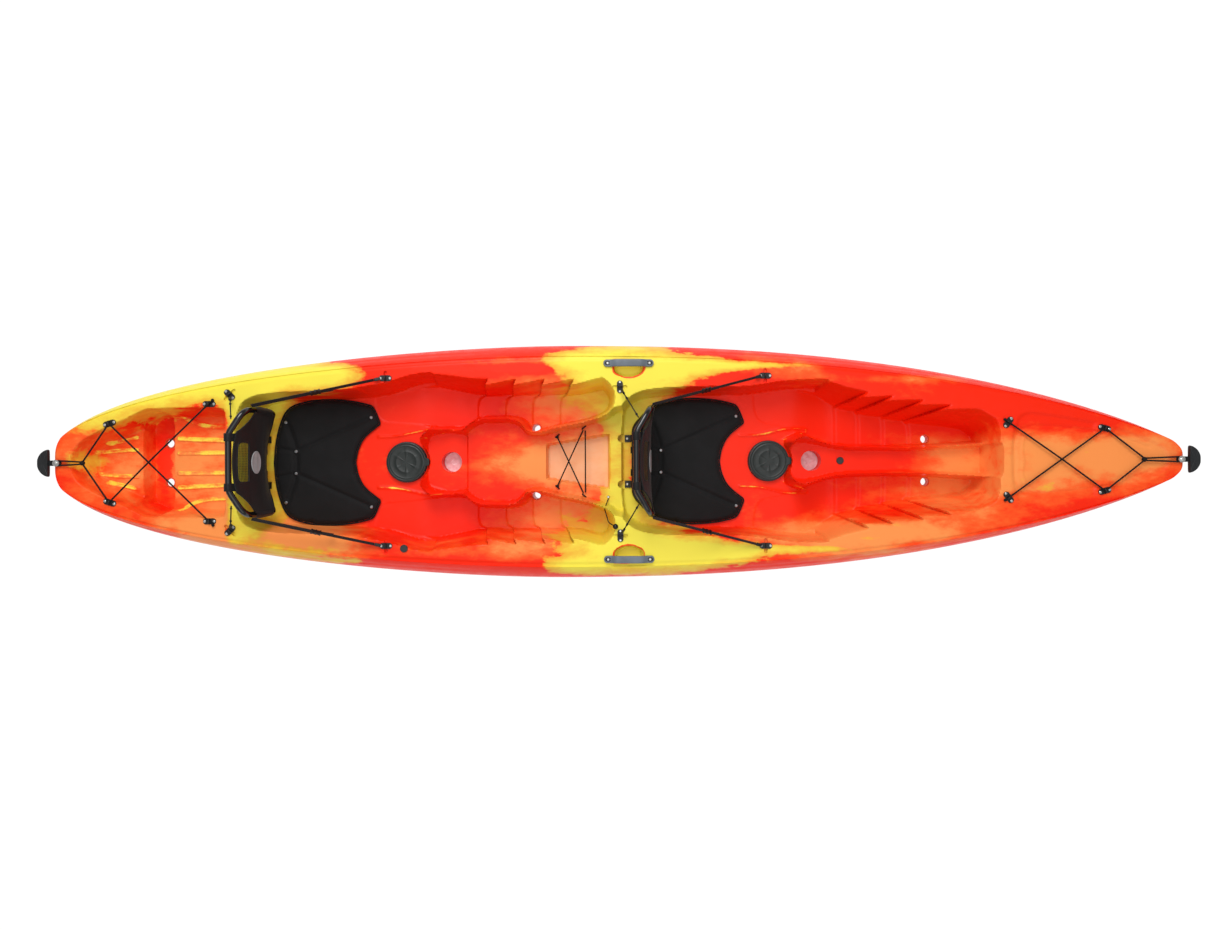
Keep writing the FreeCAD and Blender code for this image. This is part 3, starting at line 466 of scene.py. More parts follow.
def cut_openings(hull):
    """Cut the scuppers, cup holders, hatch bores and plug seats out of the closed moulding."""
    bm = bmesh.new()
    for x, y in SCUPPERS:
        for _, side in SIDES:
            cylinder_cutter(bm, (x, side * y, 0), 15, -20, 400)
    for x in CUPS:
        cylinder_cutter(bm, (x, 0, 0), 39, 95, 190, sides=72)
    for x in HATCHES:
        cylinder_cutter(bm, (x, 0, 0), 61.8, 14, 190, sides=72)
    for x, y, turn in CROSSES:
        for _, side in SIDES:
            slot_cutter(bm, (x, side * y, float(deck(x)) + 3), 56, 13, 12, math.radians(90 + side * turn))
    for _, side in SIDES:
        for clip_x, long in CLIP_SLOTS:
            slot_cutter(bm, (clip_x, side * 88, 148), long, 30, 20, 0.0)
    cylinder_cutter(bm, (-791, -318, 0), 9.4, 262, 330)
    cylinder_cutter(bm, (850, 0, 0), 9.4, 130, 200)
    carve(hull, bm)
    bm = bmesh.new()
    for x, y, long, high in POCKETS:
        for _, side in SIDES:
            slot_cutter(bm, (x, side * y, high / 2 - 20), long, 44, high / 2 + 20, 0.0)
    carve(hull, bm)


def carve(hull, bm):
    """Cut a mesh of closed cutters out of the hull."""
    bmesh.ops.recalc_face_normals(bm, faces=bm.faces)
    mesh = bpy.data.meshes.new("hull_cutters")
    bm.to_mesh(mesh)
    bm.free()
    cutter = new_object("hull_cutters", mesh)
    change = hull.modifiers.new("openings", "BOOLEAN")
    change.operation = "DIFFERENCE"
    change.solver = "MANIFOLD"
    change.object = cutter
    graph = bpy.context.evaluated_depsgraph_get()
    whole = bpy.data.meshes.new_from_object(hull.evaluated_get(graph))
    hull.modifiers.clear()
    hull.data = whole
    bpy.data.objects.remove(cutter)


# ------------------------------------------------------------ colour zones of the moulding
# Soft blobs: x, y, reach along x, reach along y, amount.
# Painted highlight: the yellow strips at (330, 345) and (520, 352) along the port deck edge. The other yellow
# blobs are the moulding's own swirl.
YELLOW_AND_HIGHLIGHT_BLOBS = [
    (-1900, 200, 240, 90, 1.2), (-1660, 300, 300, 90, 1.3), (-1350, 340, 260, 90, 1.3),
    (-1080, 322, 160, 60, 1.0), (-1360, 215, 90, 60, 0.8), (-1330, -190, 90, 70, 0.6),
    (-1345, 0, 40, 230, 0.9), (-1408, 0, 34, 230, 1.1),
    (-1180, -330, 190, 45, 0.75), (-1420, -268, 60, 40, 0.5), (-1960, 0, 60, 60, 0.75),
    (-1000, -372, 160, 26, 0.6),
    (-1290, 0, 60, 240, 0.6), (60, 345, 260, 110, 1.3), (-170, 372, 160, 40, 0.8),
    (60, 150, 130, 120, 1.0), (60, -330, 320, 110, 1.3), (30, -150, 110, 120, 1.0), (-20, 0, 70, 200, 0.7),
    (380, -345, 260, 50, 0.75), (330, 345, 220, 40, 0.7), (-160, 235, 150, 66, 0.62),
    (-150, -240, 140, 66, 0.6), (-170, -385, 120, 30, 0.9), (700, -325, 260, 18, 0.72),
    (900, -285, 160, 14, 0.6),
    (520, 352, 260, 14, 0.62), (1560, -95, 120, 50, 0.5), (1700, 30, 120, 46, 0.45), (1880, 10, 90, 26, 0.4),
    (1000, -235, 90, 26, 0.5), (1480, 0, 60, 60, 0.3)]
ORANGE_BLOBS = [
    (-1700, 0, 420, 190, 0.75), (-1500, -260, 320, 120, 0.85), (-1180, -300, 260, 140, 0.8),
    (-1300, 0, 200, 240, 0.7), (-1110, 0, 100, 200, 0.5), (-480, 0, 90, 70, 0.45), (-330, 0, 120, 90, 0.55),
    (-160, 0, 170, 120, 0.95), (-250, 240, 170, 80, 0.75), (-250, -240, 170, 80, 0.75), (0, 0, 260, 420, 0.6),
    (-450, 372, 500, 26, 0.55), (-500, -330, 320, 40, 0.55), (1230, -120, 200, 90, 0.7),
    (1040, -270, 320, 60, 0.85), (700, -270, 260, 50, 0.6), (1620, -20, 330, 130, 0.95),
    (1880, 20, 200, 70, 0.85),
    (1270, 40, 110, 130, 0.6), (560, 340, 320, 46, 0.55), (1230, 300, 420, 20, 0.45),
    (760, -340, 330, 50, 0.55)]
# Red blobs, mostly the moulding's own red. Painted shade: (-1745, 0) in the tank channel, (-1445, 0) on the
# tank well's front wall, and (1320, 140) and (1150, 190) on the front footwell's port wall.
RED_AND_SHADE_BLOBS = [
    (-760, 388, 400, 26, 0.9), (-620, 340, 280, 22, 0.7), (-330, 345, 110, 26, 0.62),
    (-1745, 0, 50, 190, 0.8),
    (-760, -392, 420, 26, 0.9), (-1700, -262, 260, 26, 0.5), (-1445, 0, 16, 190, 0.35),
    (1200, 330, 420, 26, 0.5), (1350, -312, 240, 18, 0.6), (1320, 140, 90, 60, 0.5),
    (1150, 190, 160, 60, 0.5),
    (430, 250, 160, 90, 0.6), (900, 0, 340, 26, 0.4), (-880, 150, 140, 90, 0.5), (-860, -170, 140, 90, 0.5)]


def blobs(x, y, listed):
    total = np.zeros_like(x)
    for bx, by, rx, ry, amount in listed:
        total += amount * np.exp(-((x - bx) / rx) ** 2 - ((y - by) / ry) ** 2)
    return total


def paint_attribute(mesh, name, values):
    layer = mesh.attributes.new(name, "FLOAT", "POINT")
    layer.data.foreach_set("value", values.astype(np.float32))


def paint_hull(hull):
    at = coords(hull.data)
    x, y, z = at.T
    low = np.clip(1 - z / rail(x), 0, 1)
    yellow_and_highlight = blobs(x, y, YELLOW_AND_HIGHLIGHT_BLOBS) * (1 - 0.5 * low)
    orange = blobs(x, y, ORANGE_BLOBS)
    red_and_shade = blobs(x, y, RED_AND_SHADE_BLOBS)
    _, ridge_highlight = deck_surface(x, y)
    on_top = z > rail(x) * 0.6
    side = np.abs(y)
    rim = np.exp(-(signed_distance(x, side, one_side(FINGER_WELL)) / 7) ** 2)
    cross_slot_shade = sum(np.exp(-(np.hypot(x - a, side - b) / 20) ** 2) for a, b, _ in CROSSES)
    # Painted shade: the finger well's rim and the cross slots are darkened red where their walls fall into
    # shade.
    red_and_shade = red_and_shade + on_top * np.maximum(0.75 * rim, 0.7 * cross_slot_shade)
    paint_attribute(hull.data, "yellow_and_highlight", np.clip(yellow_and_highlight - 0.35 * red_and_shade, 0, 1.4))
    paint_attribute(hull.data, "orange", np.clip(orange - 0.5 * red_and_shade, 0, 1.2))
    paint_attribute(hull.data, "red_and_shade", np.clip(red_and_shade, 0, 1))
    paint_attribute(hull.data, "ridge_highlight", np.where(on_top, ridge_highlight, 0))
    pale = smooth((-8 - signed_distance(x, np.abs(y), both_sides(MID_WELL))) / 8) * (z < 124) * (z > 100)
    paint_attribute(hull.data, "pale", pale)


# ------------------------------------------------------------ materials
def colour(code):
    """A linear colour from a six-digit sRGB code."""
    values = [int(code[i:i + 2], 16) / 255 for i in (0, 2, 4)]
    return tuple(v / 12.92 if v <= 0.04045 else ((v + 0.055) / 1.055) ** 2.4 for v in values) + (1.0,)


class Shader:
    """A short way to wire a node material."""

    def __init__(self, name, **sockets):
        self.material = bpy.data.materials.new(name)
        self.material.use_nodes = True
        self.tree = self.material.node_tree
        self.base = self.tree.nodes["Principled BSDF"]
        for key, value in sockets.items():
            self.base.inputs[key.replace("_", " ")].default_value = value
        self.place = self.tree.nodes.new("ShaderNodeTexCoord").outputs["Object"]

    def node(self, kind, **sockets):
        made = self.tree.nodes.new("ShaderNode" + kind)
        for key, value in sockets.items():
            self.plug(value, made.inputs[key.replace("_", " ")])
        return made

    def plug(self, value, socket):
        if isinstance(value, bpy.types.NodeSocket):
            self.tree.links.new(value, socket)
        else:
            socket.default_value = value

    def noise(self, scale, detail=4.0, rough=0.55, stretch=None):
        where = self.place
        if stretch:
            where = self.node("Mapping", Vector=self.place, Scale=stretch).outputs[0]
        return self.node("TexNoise", Vector=where, Scale=scale, Detail=detail, Roughness=rough).outputs["Fac"]

    def math(self, operation, a, b=0.0, clamp=False):
        made = self.tree.nodes.new("ShaderNodeMath")
        made.operation = operation
        made.use_clamp = clamp
        self.plug(a, made.inputs[0])
        self.plug(b, made.inputs[1])
        return made.outputs[0]

    def add(self, a, b):
        return self.math("ADD", a, b)

    def times(self, a, b):
        return self.math("MULTIPLY", a, b)

    def spread(self, value, low, high, to_low=0.0, to_high=1.0):
        made = self.node("MapRange", Value=value)
        made.interpolation_type = "SMOOTHSTEP"
        for key, number in (("From Min", low), ("From Max", high), ("To Min", to_low), ("To Max", to_high)):
            self.plug(number, made.inputs[key])
        return made.outputs["Result"]

    def mix(self, share, a, b):
        made = self.tree.nodes.new("ShaderNodeMix")
        made.data_type = "RGBA"
        self.plug(share, made.inputs[0])
        self.plug(a, made.inputs[6])
        self.plug(b, made.inputs[7])
        return made.outputs[2]

    def attribute(self, name):
        made = self.tree.nodes.new("ShaderNodeAttribute")
        made.attribute_name = name
        return made.outputs["Fac"]

    def finish(self, base_colour=None, roughness=None, bump=None, strength=0.3, distance=0.001):
        if base_colour is not None:
            self.plug(base_colour, self.base.inputs["Base Color"])
        if roughness is not None:
            self.plug(roughness, self.base.inputs["Roughness"])
        if bump is not None:
            made = self.node("Bump", Height=bump, Strength=strength, Distance=distance)
            self.tree.links.new(made.outputs["Normal"], self.base.inputs["Normal"])
        return self.material


def hull_material():
    s = Shader("hull_swirl", IOR=1.5, Specular_IOR_Level=0.16)
    broad = s.math("SUBTRACT", s.noise(3.2, 5.0, 0.6, (1.0, 2.2, 2.2)), 0.5)
    ragged = s.math("SUBTRACT", s.noise(14.0, 8.0, 0.68, (1.0, 1.8, 1.8)), 0.5)
    fine = s.math("SUBTRACT", s.noise(60.0, 6.0, 0.6, (1.0, 2.4, 2.4)), 0.5)
    wander = s.add(s.times(broad, 1.5), s.times(ragged, 0.9))
    warm = s.add(s.attribute("orange"), wander)
    base = s.mix(s.spread(warm, 0.12, 0.55), colour("F42606"), colour("F9561E"))
    base = s.mix(s.spread(warm, 0.45, 0.95), base, colour("F5904A"))
    blend_width = s.spread(broad, -0.2, 0.2, 0.03, 0.3)
    # Yellow: the moulding's own swirl, with painted highlight strips along the port deck edge.
    field = s.add(s.attribute("yellow_and_highlight"), s.add(wander, s.times(fine, 0.12)))
    share = s.math("DIVIDE", s.math("SUBTRACT", field, 0.52), blend_width, clamp=True)
    base = s.mix(share, base, s.mix(s.spread(field, 0.55, 1.25), colour("E9A832"), colour("F0DE4A")))
    # Painted highlight: yellow along the raised ridges and ribs; the ragged noise adds random yellow streaks
    # of the swirl.
    highlight_and_swirl = s.add(s.attribute("ridge_highlight"), s.times(ragged, 1.2))
    base = s.mix(s.spread(highlight_and_swirl, 0.42, 0.66), base, colour("F8DC4C"))
    # Red: the moulding's own red swirl, with painted shade on some recess walls, the finger well's rim and
    # the cross slots.
    red_and_shade_field = s.add(s.attribute("red_and_shade"), s.times(ragged, 1.1))
    base = s.mix(s.spread(red_and_shade_field, 0.5, 0.62, 0.0, 0.9), base, colour("FB2A10"))
    base = s.mix(s.times(s.attribute("pale"), s.spread(ragged, -0.3, 0.2, 0.6, 0.95)), base,
                 colour("F0B488"))
    rough = s.spread(s.noise(30.0, 3.0), 0.3, 0.7, 0.30, 0.42)
    bump = s.add(s.noise(900.0, 2.0), s.times(s.noise(9.0, 2.0), 2.0))
    return s.finish(base, rough, bump, 0.12, 0.0006)


# ------------------------------------------------------------ the hull
def build_hull():
    x, y, z, _ = hull_points()
    hull = new_object("hull_moulding", grid_mesh("hull_moulding", x, y, z))
    cut_openings(hull)
    paint_hull(hull)
    shade(hull, 40)
    hull.data.materials.clear()
    hull.data.materials.append(hull_material())
    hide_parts("hull")
    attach(hull, "hull_assembly")
    return hull


build_hull()


# ------------------------------------------------------------ swept and turned pieces
def bend_path(points, bend=20.0, closed=False):
    """Straight runs joined by arcs."""
    line = [Vector(p) for p in points]
    around = [line[-1]] + line + [line[0]] if closed else line
    path = [] if closed else [line[0]]
    for before, here, after in zip(around, around[1:], around[2:]):
        into = (here - before).normalized()
        out = (after - here).normalized()
        turn = into.angle(out, 0.0)
        reach = min(bend * math.tan(turn / 2), 0.45 * (here - before).length, 0.45 * (after - here).length)
        start, end = here - into * reach, here + out * reach
        steps = max(2, round(turn / 0.12))
        for k in range(steps + 1):
            t = k / steps
            path.append(start * (1 - t) ** 2 + here * (2 * t * (1 - t)) + end * t ** 2)
    if not closed:
        path.append(line[-1])
    return np.array([tuple(p) for p in path])


def evenly(path, step, closed=False):
    """The same path with points about one step apart."""
    if closed:
        path = np.vstack([path, path[:1]])
    far = np.concatenate([[0], np.cumsum(np.linalg.norm(np.diff(path, axis=0), axis=1))])
    at = np.linspace(0, far[-1], max(3, int(far[-1] / step)) + 1)
    if closed:
        at = at[:-1]
    return np.stack([np.interp(at, far, path[:, i]) for i in range(3)], 1)


def circle(radius, sides=16):
    angle = np.linspace(0, 2 * math.pi, sides, endpoint=False)
    return np.stack([radius * np.cos(angle), radius * np.sin(angle)], 1)


def slab(width, thick, corner):
    """A rounded rectangle as a section."""
    points = []
    for cx, cy, first in ((1, 1, 0), (-1, 1, 90), (-1, -1, 180), (1, -1, 270)):
        for k in range(5):
            angle = math.radians(first + 22.5 * k)
            points.append((cx * (width / 2 - corner) + corner * math.cos(angle),
                           cy * (thick / 2 - corner) + corner * math.sin(angle)))
    return np.array(points)


def rings_mesh(name, rings, closed=False):
    """A mesh through rings of points, with its ends fanned shut and a UV map round and along it."""
    count, sides = rings.shape[:2]
    points = rings.reshape(-1, 3) * MM
    index = np.arange(count * sides).reshape(count, sides)
    a = index if closed else index[:-1]
    b = np.roll(index, -1, 0) if closed else index[1:]
    quads = np.stack([a, b, np.roll(b, -1, 1), np.roll(a, -1, 1)], -1).reshape(-1, 4)
    middle = rings.mean(1)
    far = np.concatenate([[0], np.cumsum(np.linalg.norm(np.diff(middle, axis=0), axis=1))]) / 10
    far_b = np.append(far[1:], far[-1] + 1) if closed else far[1:]
    far_a = far if closed else far[:-1]
    u = np.broadcast_to(np.arange(sides) / sides, a.shape)
    v = np.broadcast_to(far_a[:, None], a.shape)
    w = np.broadcast_to(far_b[:, None], a.shape)
    uv = np.stack([np.stack([u, v], -1), np.stack([u, w], -1), np.stack([u + 1 / sides, w], -1),
                   np.stack([u + 1 / sides, v], -1)], 2).reshape(-1, 2)
    faces = [tuple(f) for f in quads.tolist()]
    if not closed:
        points = np.vstack([points, middle[:1] * MM, middle[-1:] * MM])
        first, last = count * sides, count * sides + 1
        for k in range(sides):
            after = (k + 1) % sides
            faces.append((int(index[0, k]), int(index[0, after]), first))
            faces.append((int(index[-1, after]), int(index[-1, k]), last))
        uv = np.vstack([uv, np.zeros((6 * sides, 2))])
    mesh = bpy.data.meshes.new(name)
    mesh.from_pydata(points.tolist(), [], faces)
    mesh.update()
    mesh.uv_layers.new(name="UVMap").data.foreach_set("uv", uv.astype(np.float32).ravel())
    face_out(mesh)
    return mesh


def face_out(mesh):
    with editing(mesh) as bm:
        bmesh.ops.recalc_face_normals(bm, faces=bm.faces)


def sweep(name, path, section, up=None, closed=False, swell=None):
    """Carry a section along a path; up fixes which way its second axis points."""
    ahead = np.roll(path, -1, 0) - np.roll(path, 1, 0) if closed else np.gradient(path, axis=0)
    ahead = ahead / np.linalg.norm(ahead, axis=1)[:, None]
    ups = np.zeros_like(path)
    last = np.array(up if up is not None else ((0, 0, 1) if abs(ahead[0][2]) < 0.9 else (1, 0, 0)), float)
    for i, heading in enumerate(ahead):
        here = last - heading * (last @ heading)
        ups[i] = here / np.linalg.norm(here)
        if up is None:
            last = ups[i]
    across = np.cross(ahead, ups)
    size = np.ones((len(path), 2)) if swell is None else swell
    rings = (path[:, None] + across[:, None] * section[None, :, :1] * size[:, None, :1]
             + ups[:, None] * section[None, :, 1:] * size[:, None, 1:])
    return new_object(name, rings_mesh(name, rings, closed))


def taper(path, reach, least=0.12):
    """Both ends of a path drawn in to a round nose over a reach."""
    far = np.concatenate([[0], np.cumsum(np.linalg.norm(np.diff(path, axis=0), axis=1))])
    near = np.minimum(far, far[-1] - far)
    amount = np.sqrt(1 - (1 - np.clip(near / reach, 0, 1)) ** 2)
    amount = np.maximum(amount, least)
    return np.stack([amount, amount], 1)


def turned(name, centre, profile, sides=64, wave=None):
    """Turn a profile of (radius, height) about a vertical axis."""
    angle = -np.linspace(0, 2 * math.pi, sides, endpoint=False)
    profile = np.array(profile, float)
    radius, height = profile[:, :1], profile[:, 1:]
    grow = wave(angle, radius) if wave else 0.0
    rings = np.stack([centre[0] + (radius + grow) * np.cos(angle),
                      centre[1] + (radius + grow) * np.sin(angle),
                      np.broadcast_to(height, (len(profile), sides)) + 0 * angle], -1)
    return new_object(name, rings_mesh(name, rings))


def applied(thing):
    """Apply an object's modifiers to its mesh."""
    graph = bpy.context.evaluated_depsgraph_get()
    mesh = bpy.data.meshes.new_from_object(thing.evaluated_get(graph))
    thing.modifiers.clear()
    thing.data = mesh
    return thing


def modified(thing, kind, **settings):
    change = thing.modifiers.new(kind.lower(), kind)
    for key, value in settings.items():
        setattr(change, key, value)
    return applied(thing)


def set_coords(mesh, at):
    mesh.vertices.foreach_set("co", (at * MM).astype(np.float32).ravel())
    mesh.update()


def dress(thing, slot, body, *nodes, finish=None):
    """Give a piece its material, its body and the parts that it stands for."""
    shade(thing, 40)
    thing.data.materials.clear()
    thing.data.materials.append(finish or FINISHES[slot])
    if nodes:
        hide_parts(*nodes)
    if body:
        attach(thing, body)
    return thing


# ------------------------------------------------------------ finishes of everything but the hull
def plastic(name, code, rough=0.45, grain=700.0, strength=0.15, level=0.4):
    s = Shader(name, IOR=1.5, Specular_IOR_Level=level)
    # Mottled tone: the colour darkens a little in random noise patches.
    mottled_tone = s.mix(s.spread(s.noise(24.0, 4.0), 0.3, 0.7, 0.0, 0.25), colour(code), (0, 0, 0, 1))
    return s.finish(mottled_tone, s.spread(s.noise(60.0), 0.3, 0.7, rough - 0.06, rough + 0.08),
                    s.noise(grain, 2.0), strength, 0.0004)


def metal(name, code, rough=0.3):
    s = Shader(name, Metallic=1.0)
    worn = s.noise(90.0, 5.0)
    return s.finish(s.mix(s.spread(worn, 0.35, 0.7, 0.0, 0.3), colour(code), colour("5A5A58")),
                    s.spread(worn, 0.3, 0.7, rough - 0.08, rough + 0.12), s.noise(400.0, 2.0), 0.08, 0.0003)


def weave(name, code, pitch=0.0024, rough=0.85, sheen=0.25, strength=0.35):
    """Cloth with two crossing sets of threads, and faint unevenness of colour."""
    s = Shader(name, Sheen_Weight=sheen, Specular_IOR_Level=0.25)
    parts = s.node("SeparateXYZ", Vector=s.place)
    waves = [s.math("SINE", s.times(axis, 2 * math.pi / pitch)) for axis in parts.outputs]
    threads = s.add(s.times(waves[0], waves[1]), s.times(waves[1], waves[2]))
    worn = s.mix(s.spread(s.noise(14.0, 5.0), 0.35, 0.75, 0.0, 0.4), colour(code), colour("151517"))
    return s.finish(worn, rough, s.add(threads, s.noise(500.0, 2.0)), strength, 0.0003)


def braid(name, code, fleck, turns=6.0, pitch=0.55):
    """Cord with two sets of strands wound round it, from the UV map round and along it."""
    s = Shader(name, Specular_IOR_Level=0.3)
    where = s.tree.nodes.new("ShaderNodeTexCoord").outputs["UV"]
    parts = s.node("SeparateXYZ", Vector=where)
    round_it = s.times(parts.outputs[0], 2 * math.pi * turns)
    along = s.times(parts.outputs[1], 2 * math.pi / pitch)
    strands = s.math("MAXIMUM", s.math("SINE", s.add(round_it, along)),
                     s.math("SINE", s.math("SUBTRACT", round_it, along)))
    base = s.mix(s.spread(s.times(strands, s.noise(300.0)), 0.35, 0.6, 0.0, 0.5), colour(code),
                 colour(fleck))
    return s.finish(base, 0.8, strands, 0.5, 0.0005)


def netting(name, code, pitch=0.0042):
    """Open mesh: threads with see-through gaps."""
    s = Shader(name, Roughness=0.7)
    parts = s.node("SeparateXYZ", Vector=s.place)
    lines = [s.math("ABSOLUTE", s.math("SINE", s.times(parts.outputs[k], math.pi / pitch)))
             for k in (1, 2)]
    solid = s.spread(s.math("MAXIMUM", *lines), 0.972, 0.996)
    s.plug(solid, s.base.inputs["Alpha"])
    return s.finish(colour(code), None, s.noise(500.0), 0.2)


FINISHES = {
    "rim_plastic": plastic("rim_black", "1B1D1C"), "lid_plastic": plastic("lid_dark_green", "1C2321", 0.38,
                                                                          500.0),
    "seal_rubber": plastic("seal_black", "101010", 0.8), "screw_steel": metal("screw_steel_polished",
                                                                              "D8D8D4"),
    "rivet_plastic": metal("rivet_dull_steel", "9A9C9F", 0.42),
    "cushion_fabric": weave("cushion_black_cloth", "070708", 0.0024, 0.75, 0.05),
    "frame_paint": plastic("frame_gloss_black", "08080A", 0.14, 200.0, 0.03, 0.6),
    "sling_fabric": weave("sling_black_cloth", "09090A", 0.0030, 0.5, 0.05, 0.3),
    "fitting_plastic": plastic("fitting_black", "121213", 0.42),
    "plug_rubber": plastic("plug_grey", "2E3030", 0.6),
    "strap_webbing": weave("webbing_black", "0E0E10", 0.0018, 0.7, 0.1, 0.5),
    "tie_cord": braid("tie_cord_black", "0E0E0F", "3A3A3C"), "bungee_cord": braid("bungee_black", "100C0C",
                                                                                  "3C2A2A"),
    "grip_plastic": plastic("grip_charcoal", "1D1F21", 0.5, 900.0),
    "handle_plastic": plastic("handle_slate", "69727C", 0.4)}


# ------------------------------------------------------------ seatbacks
FRAME_PORT = [(0, 100, 470), (49, 184, 455), (57, 188, 340), (51, 184, 192), (0, 130, 170)]
SLING_HEIGHTS = [190, 230, 280, 325, 365, 409, 440, 455, 466]
SLING_BELLY = [17, 31, 48, 55, 52, 43, 29, 20, 12]
WINDOW = (72, 405, 451)


def sling_reach(y, z):
    """How far ahead of the frame's lower tube the sling stands: it bellies forward between its sides."""
    belly = np.interp(z, SLING_HEIGHTS, SLING_BELLY)
    return belly + (61 - belly) * (np.abs(y) / 176) ** 2.4


def sling_edges(y):
    side = np.abs(y)
    high = np.interp(side, [0, 104, 114, 150, 176], [464, 464, 452, 414, 392])
    low = np.interp(side, [0, 100, 140, 176], [190, 190, 196, 222])
    return low, high


def sling_grid(columns, rows):
    """Points of part of the sling, and the quads between them."""
    points = np.stack([sling_reach(columns, rows), np.broadcast_to(columns, rows.shape), rows], -1)
    index = np.arange(rows.size).reshape(rows.shape)
    quads = np.stack([index[:-1, :-1], index[:-1, 1:], index[1:, 1:], index[1:, :-1]], -1)
    return points, quads


def sling_panel(name, x):
    columns = np.linspace(-176, 176, 45)
    low, high = sling_edges(columns)
    edge = np.minimum(WINDOW[2], high - 6)
    middle = np.minimum(WINDOW[1], edge - 12)
    rows = np.vstack([low + (middle - low) * t for t in np.linspace(0, 1, 19)[:-1]]
                     + [middle + (edge - middle) * t for t in np.linspace(0, 1, 9)[:-1]]
                     + [edge + (high - edge) * t for t in np.linspace(0, 1, 6)])
    points, quads = sling_grid(columns, rows)
    open_row = np.zeros(quads.shape[:2], bool)
    open_row[18:26, np.abs(columns[:-1] + 4) < WINDOW[0]] = True
    faces = quads[~open_row].reshape(-1, 4)
    mesh = bpy.data.meshes.new(name)
    mesh.from_pydata(((points.reshape(-1, 3) + [x, 0, 0]) * MM).tolist(), [], faces.tolist())
    with editing(mesh) as bm:
        bmesh.ops.delete(bm, geom=[v for v in bm.verts if not v.link_faces], context="VERTS")
    area = sum(face.area for face in mesh.polygons)
    thing = modified(new_object(name, mesh), "SOLIDIFY", thickness=0.004, offset=0.0)
    return thing, area


def wrap_loop(name, x, y, tube_z, sheet_z, width):
    """A sleeve of the sling: from the sheet round a tube and back to the sheet."""
    face = float(sling_reach(y, sheet_z))
    up = 1 if tube_z > sheet_z else -1
    loop = [(face + 1, sheet_z - 12 * up), (face, sheet_z)]
    for k in range(13):
        angle = math.radians(-15 + 17.5 * k) * up
        loop.append((13.4 * math.cos(angle), tube_z + 13.4 * math.sin(angle)))
    loop += [(face - 4, sheet_z), (face - 3, sheet_z - 12 * up)]
    path = evenly(np.array([(x + a, y, c) for a, c in loop]), 3)
    return sweep(name, path, slab(width, 2.6, 1.2), up=None)


def build_seatback(seat):
    x = SEATS[seat]
    body = seat + "_seatback"
    loop = [(x + a, b, c) for a, b, c in FRAME_PORT] + [(x + a, -b, c) for a, b, c in FRAME_PORT[::-1]]
    path = evenly(bend_path(loop, 60, True), 7, True)
    dress(sweep(seat + "_frame_tube", path, circle(11, 24), closed=True), "frame_paint", body,
          seat + "_seatback_frame")
    panel, area = sling_panel(seat + "_sling_panel", x)
    dress(panel, "sling_fabric", body, seat + "_seatback_sling")
    for side_name, side in SIDES:
        for label, y, tube_z, sheet_z, width in (("top", 87, 470, 446, 28), ("low", 43, 170, 204, 26)):
            sleeve = wrap_loop("%s_sling_%s_%s" % (seat, label, side_name), x, side * y, tube_z, sheet_z,
                               width)
            dress(sleeve, "sling_fabric", body)
        held = path[(path[:, 1] * side > 150) & (path[:, 2] > 232) & (path[:, 2] < 388)]
        held = held[np.argsort(held[:, 2])]
        sleeve = sweep("%s_sling_wing_%s" % (seat, side_name), held, circle(13.4, 24),
                       swell=taper(held, 6, 0.83))
        dress(sleeve, "sling_fabric", body)
    columns = np.linspace(-176, 176, 45)
    low, high = sling_edges(columns)
    top = [(x + float(sling_reach(y, z)), y, z) for y, z in zip(columns, high)]
    bottom = [(x + float(sling_reach(y, z)), y, z) for y, z in zip(columns, low)]
    rim = evenly(np.array(top + bottom[::-1]), 6, True)
    dress(sweep(seat + "_sling_hem", rim, circle(3.2, 12), closed=True), "sling_fabric", body)
    wide, under, over = WINDOW
    window = [(y, z) for y, z in ((-wide, under), (wide, under), (wide, over), (-wide, over))]
    flat = evenly(bend_path([(0, y, z) for y, z in window], 16, True), 5, True)
    flat[:, 0] = x + sling_reach(flat[:, 1], flat[:, 2])
    dress(sweep(seat + "_window_hem", flat, circle(3.4, 12), closed=True), "sling_fabric",
                        body)
    points, quads = sling_grid(np.linspace(-wide, wide, 19),
                               np.repeat(np.linspace(under, over, 9)[:, None], 19, 1))
    mesh = bpy.data.meshes.new(seat + "_window_net")
    mesh.from_pydata(((points.reshape(-1, 3) + [x, 0, 0]) * MM).tolist(), [], quads.reshape(-1, 4).tolist())
    net = modified(new_object(seat + "_window_net", mesh), "SOLIDIFY", thickness=0.0008, offset=0.0)
    dress(net, "sling_fabric", body, finish=NET)
    dress(badge_mesh(seat, x), "sling_fabric", body, finish=BADGE)


def badge_mesh(seat, x):
    """The plain oval patch on the seatback's lower band, with a raised edge."""
    rings = []
    for share, lift in ((1.0, 1.4), (0.99, 3.0), (0.95, 3.9), (0.9, 3.4), (0.6, 3.3), (0.3, 3.3),
                        (0.05, 3.3)):
        ring = []
        for k in range(40):
            angle = 2 * math.pi * k / 40
            y, z = 41 * share * math.cos(angle), 364 + 30 * share * math.sin(angle)
            ring.append((x + float(sling_reach(y, z)) + lift, y, z))
        rings.append(ring)
    name = seat + "_seatback_badge"
    return new_object(name, rings_mesh(name, np.array(rings)))


NET = netting("sling_net", "0A0A0B", 0.0058)
BADGE = plastic("badge_grey", "9FA1A3", 0.35)


